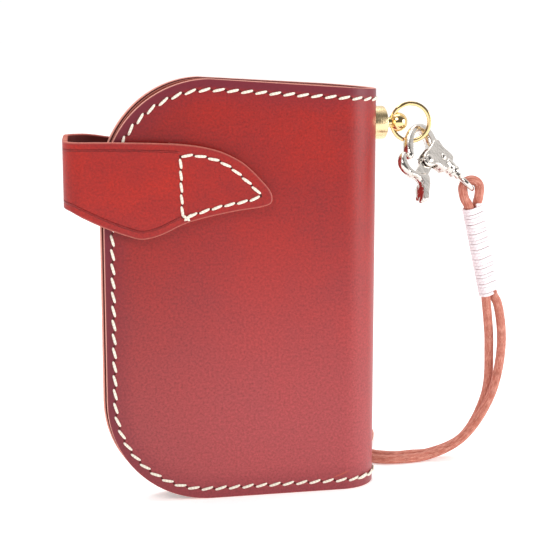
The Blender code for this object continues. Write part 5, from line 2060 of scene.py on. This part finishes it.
@dataclass
class TriggerClasp:
    """Cast nickel hook with its lever, pin, rivet and swivel eye.

    Its own frame has X along it, -Z across it towards the lever and Y through its flat side.
    """

    form: WalletForm
    finishes: Finishes
    ring: SplitRing
    yaw: float = math.radians(-10)
    pitch: float = math.radians(43.2)
    roll: float = math.radians(-42)
    seat_angle: float = math.radians(32)
    seat_along: float = 0.00424
    seat_across: float = -0.0005
    length: float = 0.0154
    width: float = 0.0189
    stem_thickness: float = 0.0034
    lever_thickness: float = 0.0025
    hook_visual: float = 0.0029
    slot_thickness: float = 0.002
    slot_radius: float = 0.0034
    arm_thickness: float = 0.0008
    barrel_radius: float = 0.002
    barrel_length: float = 0.0042
    barrel_overlap: float = 0.0012
    bore_radius: float = 0.00112
    pivot: tuple = (0.0092, 0.0044)
    rivet_along: float = 0.0126
    eye_end: float = 0.026
    eye_length: float = 0.0065
    eye_width: float = 0.0064
    eye_wire: float = 0.00075
    eye_stem: float = 0.0009
    hook_shares: tuple = (
        (1.0, -0.13), (0.86, -0.14), (0.714, -0.155), (0.533, -0.21), (0.4, -0.262), (0.3, -0.275),
        (0.2, -0.262), (0.11, -0.215), (0.035, -0.125), (0.0, 0.0), (0.006, 0.14), (0.05, 0.28),
        (0.12, 0.39), (0.2, 0.455), (0.29, 0.475), (0.325, 0.42), (0.275, 0.35), (0.22, 0.26),
        (0.166, 0.16), (0.142, 0.06), (0.15, -0.04), (0.2, -0.105), (0.28, -0.12), (0.364, -0.09),
        (0.45, -0.03), (0.49, 0.03), (0.48, 0.12), (0.466, 0.247), (0.506, 0.338), (0.597, 0.37),
        (0.701, 0.325), (0.805, 0.208), (1.0, 0.156),
    )
    stem_shares: tuple = (
        (1.003, -0.159), (0.714, -0.173), (0.56, -0.2), (0.486, -0.12), (0.486, -0.01), (0.471, 0.1),
        (0.457, 0.249), (0.503, 0.342), (0.597, 0.374), (0.703, 0.329), (0.807, 0.212),
        (1.003, 0.16),
    )
    shell_shares: tuple = (
        (0.13, 0.455), (0.09, 0.5), (0.1, 0.6), (0.17, 0.69), (0.29, 0.735), (0.41, 0.735),
        (0.52, 0.7), (0.6, 0.672), (0.665, 0.675), (0.72, 0.73), (0.79, 0.835), (0.865, 0.955),
        (0.9, 0.96), (0.975, 0.85), (0.92, 0.72), (0.85, 0.57), (0.79, 0.49), (0.72, 0.47),
        (0.66, 0.5), (0.6, 0.555), (0.52, 0.6), (0.42, 0.625), (0.32, 0.615), (0.23, 0.565),
        (0.175, 0.5),
    )
    tab_shares: tuple = (
        (0.7, 0.66), (0.72, 0.73), (0.78, 0.825), (0.825, 0.885), (0.87, 0.89), (0.94, 0.79),
        (0.91, 0.71), (0.85, 0.57), (0.8, 0.545), (0.74, 0.59),
    )
    tab_depth: float = 0.0039
    arm_shares: tuple = (
        (0.53, 0.63), (0.69, 0.62), (0.74, 0.4), (0.7, 0.2), (0.66, 0.14), (0.56, 0.13),
        (0.51, 0.18), (0.505, 0.3),
    )

    def frame(self, roll: float) -> Matrix:
        """The clasp's frame, hung so that its hook rests on the ring.

        Args:
            roll: turn about the clasp's own length.

        Returns:
            The frame in the scene.
        """
        turn = Matrix.Rotation(self.yaw, 4, "Z") @ Matrix.Rotation(self.pitch, 4, "Y")
        rolled = turn @ Matrix.Rotation(self.roll, 4, "X")
        drop = self.ring.heading() * math.sin(self.seat_angle)
        drop -= Vector((0, 0, math.cos(self.seat_angle)))
        seat = self.ring.centre() + drop * self.ring.radius
        start = seat - rolled @ Vector((self.seat_along, 0, -self.seat_across))
        return Matrix.Translation(start) @ turn @ Matrix.Rotation(roll, 4, "X")

    def slab(
        self, shares: tuple, thickness: float, offset: float = 0.0, rounding: float = 0.0
    ) -> Object:
        """A cast piece with a smoothed outline, in the clasp's own frame.

        Its rim is an elliptic round: at a share s of half the thickness the outline is drawn in by
        the rounding times one minus the root of one minus s squared.

        Args:
            shares: outline points as shares of the clasp's length and width.
            thickness: how thick it is.
            offset: how far its middle lies off the clasp's middle plane.
            rounding: how far the flat faces are drawn in.

        Returns:
            The piece.
        """
        flat = smooth_curve(np.array(shares) * (self.length, self.width), 6, closed=True)
        count = len(flat)
        inward = inwards(flat) * np.sign(np.cross(flat, np.roll(flat, -1, 0)).sum())
        levels = np.sin(np.linspace(-np.pi / 2, np.pi / 2, 9)) if rounding else np.array([-1.0, 1.0])
        rings = [flat + inward * rounding * (1 - math.sqrt(1 - min(1.0, s * s))) for s in levels]
        sides = offset + levels * thickness / 2
        points = np.concatenate(
            [np.stack([ring[:, 0], np.full(count, y), -ring[:, 1]], -1) for ring, y in zip(rings, sides)]
        )
        ring = np.arange(count)
        top = ring + count * (len(levels) - 1)
        mesh = bpy.data.meshes.new("slab")
        walls = np.concatenate(
            [strip_faces(ring + count * k, ring + count * (k + 1)) for k in range(len(levels) - 1)]
        ).tolist()
        mesh.from_pydata(points.tolist(), [], [ring[::-1].tolist(), top.tolist(), *walls])
        if sum(f.normal.y * f.area for f in mesh.polygons if f.index == 0) > 0:
            mesh.flip_normals()
        return linked("slab", mesh)

    def turned(self, name: str, profile: Sequence, place: Matrix, rounding: float = 0.0) -> Object:
        """A round piece in the clasp's own frame."""
        return new_piece(name, *lathed(profile, 40, place, rounding), sharp=50)

    def settle(self, obj: Object, node: str, body: Body, roll: float) -> None:
        """Moves a piece to its place and gives it its finish and its body."""
        obj.data.transform(self.frame(roll))
        fit_out(obj, self.finishes.nickel, "nickel", [node], body)

    def across(self, place: Sequence) -> Matrix:
        """An axis through the clasp's flat side, at a place along and across it."""
        return Matrix.Translation((place[0], 0, -place[1])) @ Matrix.Rotation(-math.pi / 2, 4, "X")

    def build(self) -> None:
        """Builds the hook, the lever, the pin, the rivet and the eye."""
        self.build_hook()
        self.build_lever()
        self.build_pins()
        self.build_eye()

    def build_hook(self) -> None:
        """Casts the hook and its stem in one, slotted for the lever, with a round barrel."""
        along = Matrix.Rotation(math.pi / 2, 4, "Y")
        start = self.length - self.barrel_overlap
        end = start + self.barrel_length
        reach, bore, waist = self.barrel_radius, self.bore_radius, 0.9 * self.barrel_radius
        mouth = [(0.0, end - 0.0004), (bore, end - 0.0004), (bore, end), (reach, end)]
        groove = [(reach, end - 0.0009), (waist, end - 0.0011), (waist, end - 0.0014)]
        foot = [(reach, end - 0.0016), (reach, start), (0.0, start)]
        barrel = self.turned("barrel", mouth + groove + foot, along)
        hook = self.slab(self.hook_shares, self.hook_visual, rounding=0.0009)
        stem = self.slab(self.stem_shares, self.stem_thickness, rounding=0.0005)
        slot = rod(self.slot_radius, self.slot_thickness / 2, -self.slot_thickness / 2)
        for solid in (hook, stem):
            cut_away(solid, self.turned("slot", slot, self.across(self.pivot)))
        cast = weld([hook, stem, barrel], "cast_hook", 0.0001, 9)
        self.settle(cast, "clasp_hook", Body.CLASP, self.roll)

    def build_lever(self) -> None:
        """Casts the lever: its band, its broad thumb tab and the thin arm that turns on the pin."""
        offset = self.form.gap + (self.arm_thickness - self.slot_thickness) / 2
        shell = self.slab(self.shell_shares, self.lever_thickness, rounding=0.0007)
        behind = (self.tab_depth - self.lever_thickness) / 2
        tab = self.slab(self.tab_shares, self.tab_depth, behind, rounding=0.0005)
        arm = self.slab(self.arm_shares, self.arm_thickness, offset)
        lever = weld([shell, tab, arm], "cast_lever", 0.0001, 8)
        self.settle(lever, "clasp_lever", Body.LEVER, self.roll)

    def build_pins(self) -> None:
        """Turns the lever's pin and the rivet, each with a low dome at both ends."""
        for name, node, place, radius, seat in (
            ("pivot_pin", "lever_pin", self.pivot, 0.0013, self.stem_thickness / 2),
            ("stem_rivet", "clasp_rivet", (self.rivet_along, 0.0), 0.001, self.stem_thickness / 2),
        ):
            turn = np.linspace(0, math.pi / 2, 8)
            dome = np.stack([radius * np.sin(turn), seat + 0.0005 * np.cos(turn)], -1)
            profile = [*dome.tolist(), *(dome[::-1] * (1, -1)).tolist()]
            pin = self.turned(name, profile, self.across(place))
            self.settle(pin, node, Body.CLASP, self.roll)

    def build_eye(self) -> None:
        """Bends the eye from round wire and sets it on its turned stem."""
        half = self.eye_width / 2 - self.eye_wire
        far = self.eye_end - self.eye_wire
        near = self.eye_end - self.eye_length + self.eye_wire
        turn = np.linspace(-math.pi / 2, math.pi / 2, 25)
        outer = np.stack([far - half + half * np.cos(turn), half * np.sin(turn), 0 * turn], -1)
        inner = np.stack([near + half - half * np.cos(turn), -half * np.sin(turn), 0 * turn], -1)
        loop = swept(np.concatenate([outer, inner]), round_section(self.eye_wire, 20), closed=True)
        start = self.length - self.barrel_overlap + 0.001
        collar = self.length - self.barrel_overlap + self.barrel_length
        along = Matrix.Rotation(math.pi / 2, 4, "Y")
        wide, top = self.eye_stem, near + 0.0002
        head = [(0.0, top), (0.9 * wide, top), (1.25 * wide, near - 0.0004)]
        shaft = [(wide, collar + 0.0002), (wide, start), (0.0, start)]
        stem = lathed(head + shaft, 40, along, 0.00015)
        eye = new_piece("swivel_eye_wire", *joined([loop, stem]), sharp=60)
        self.settle(eye, "swivel_eye", Body.EYE, 0.0)


def dress_kept_nodes(finishes: Finishes) -> None:
    """Gives the frame's own solids that stay their finishes."""
    for node, look in (
        ("stud_screw", finishes.brushed_brass),
        ("lever_spring", finishes.steel),
        ("cover_magnet", finishes.steel),
        ("strap_magnet", finishes.steel),
    ):
        dress(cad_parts[node], look)


def main() -> None:
    """Builds the studio, the cord and every sub-assembly, and reports each piece."""
    logging.basicConfig(level=logging.INFO, format="%(message)s", stream=sys.stdout)
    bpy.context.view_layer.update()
    bpy.context.scene.view_settings.view_transform = "Standard"
    form = WalletForm()
    Studio().build()
    finishes = Finishes()
    WristCord(finishes).build()
    HideBody(form, finishes).build()
    CoverSeams(form, finishes).build()
    ClosingStrap(form, finishes).build()
    SwivelStud(form, finishes).build()
    ring = SplitRing(form, finishes)
    ring.build()
    TriggerClasp(form, finishes, ring).build()
    dress_kept_nodes(finishes)


if __name__ == "__main__":
    main()
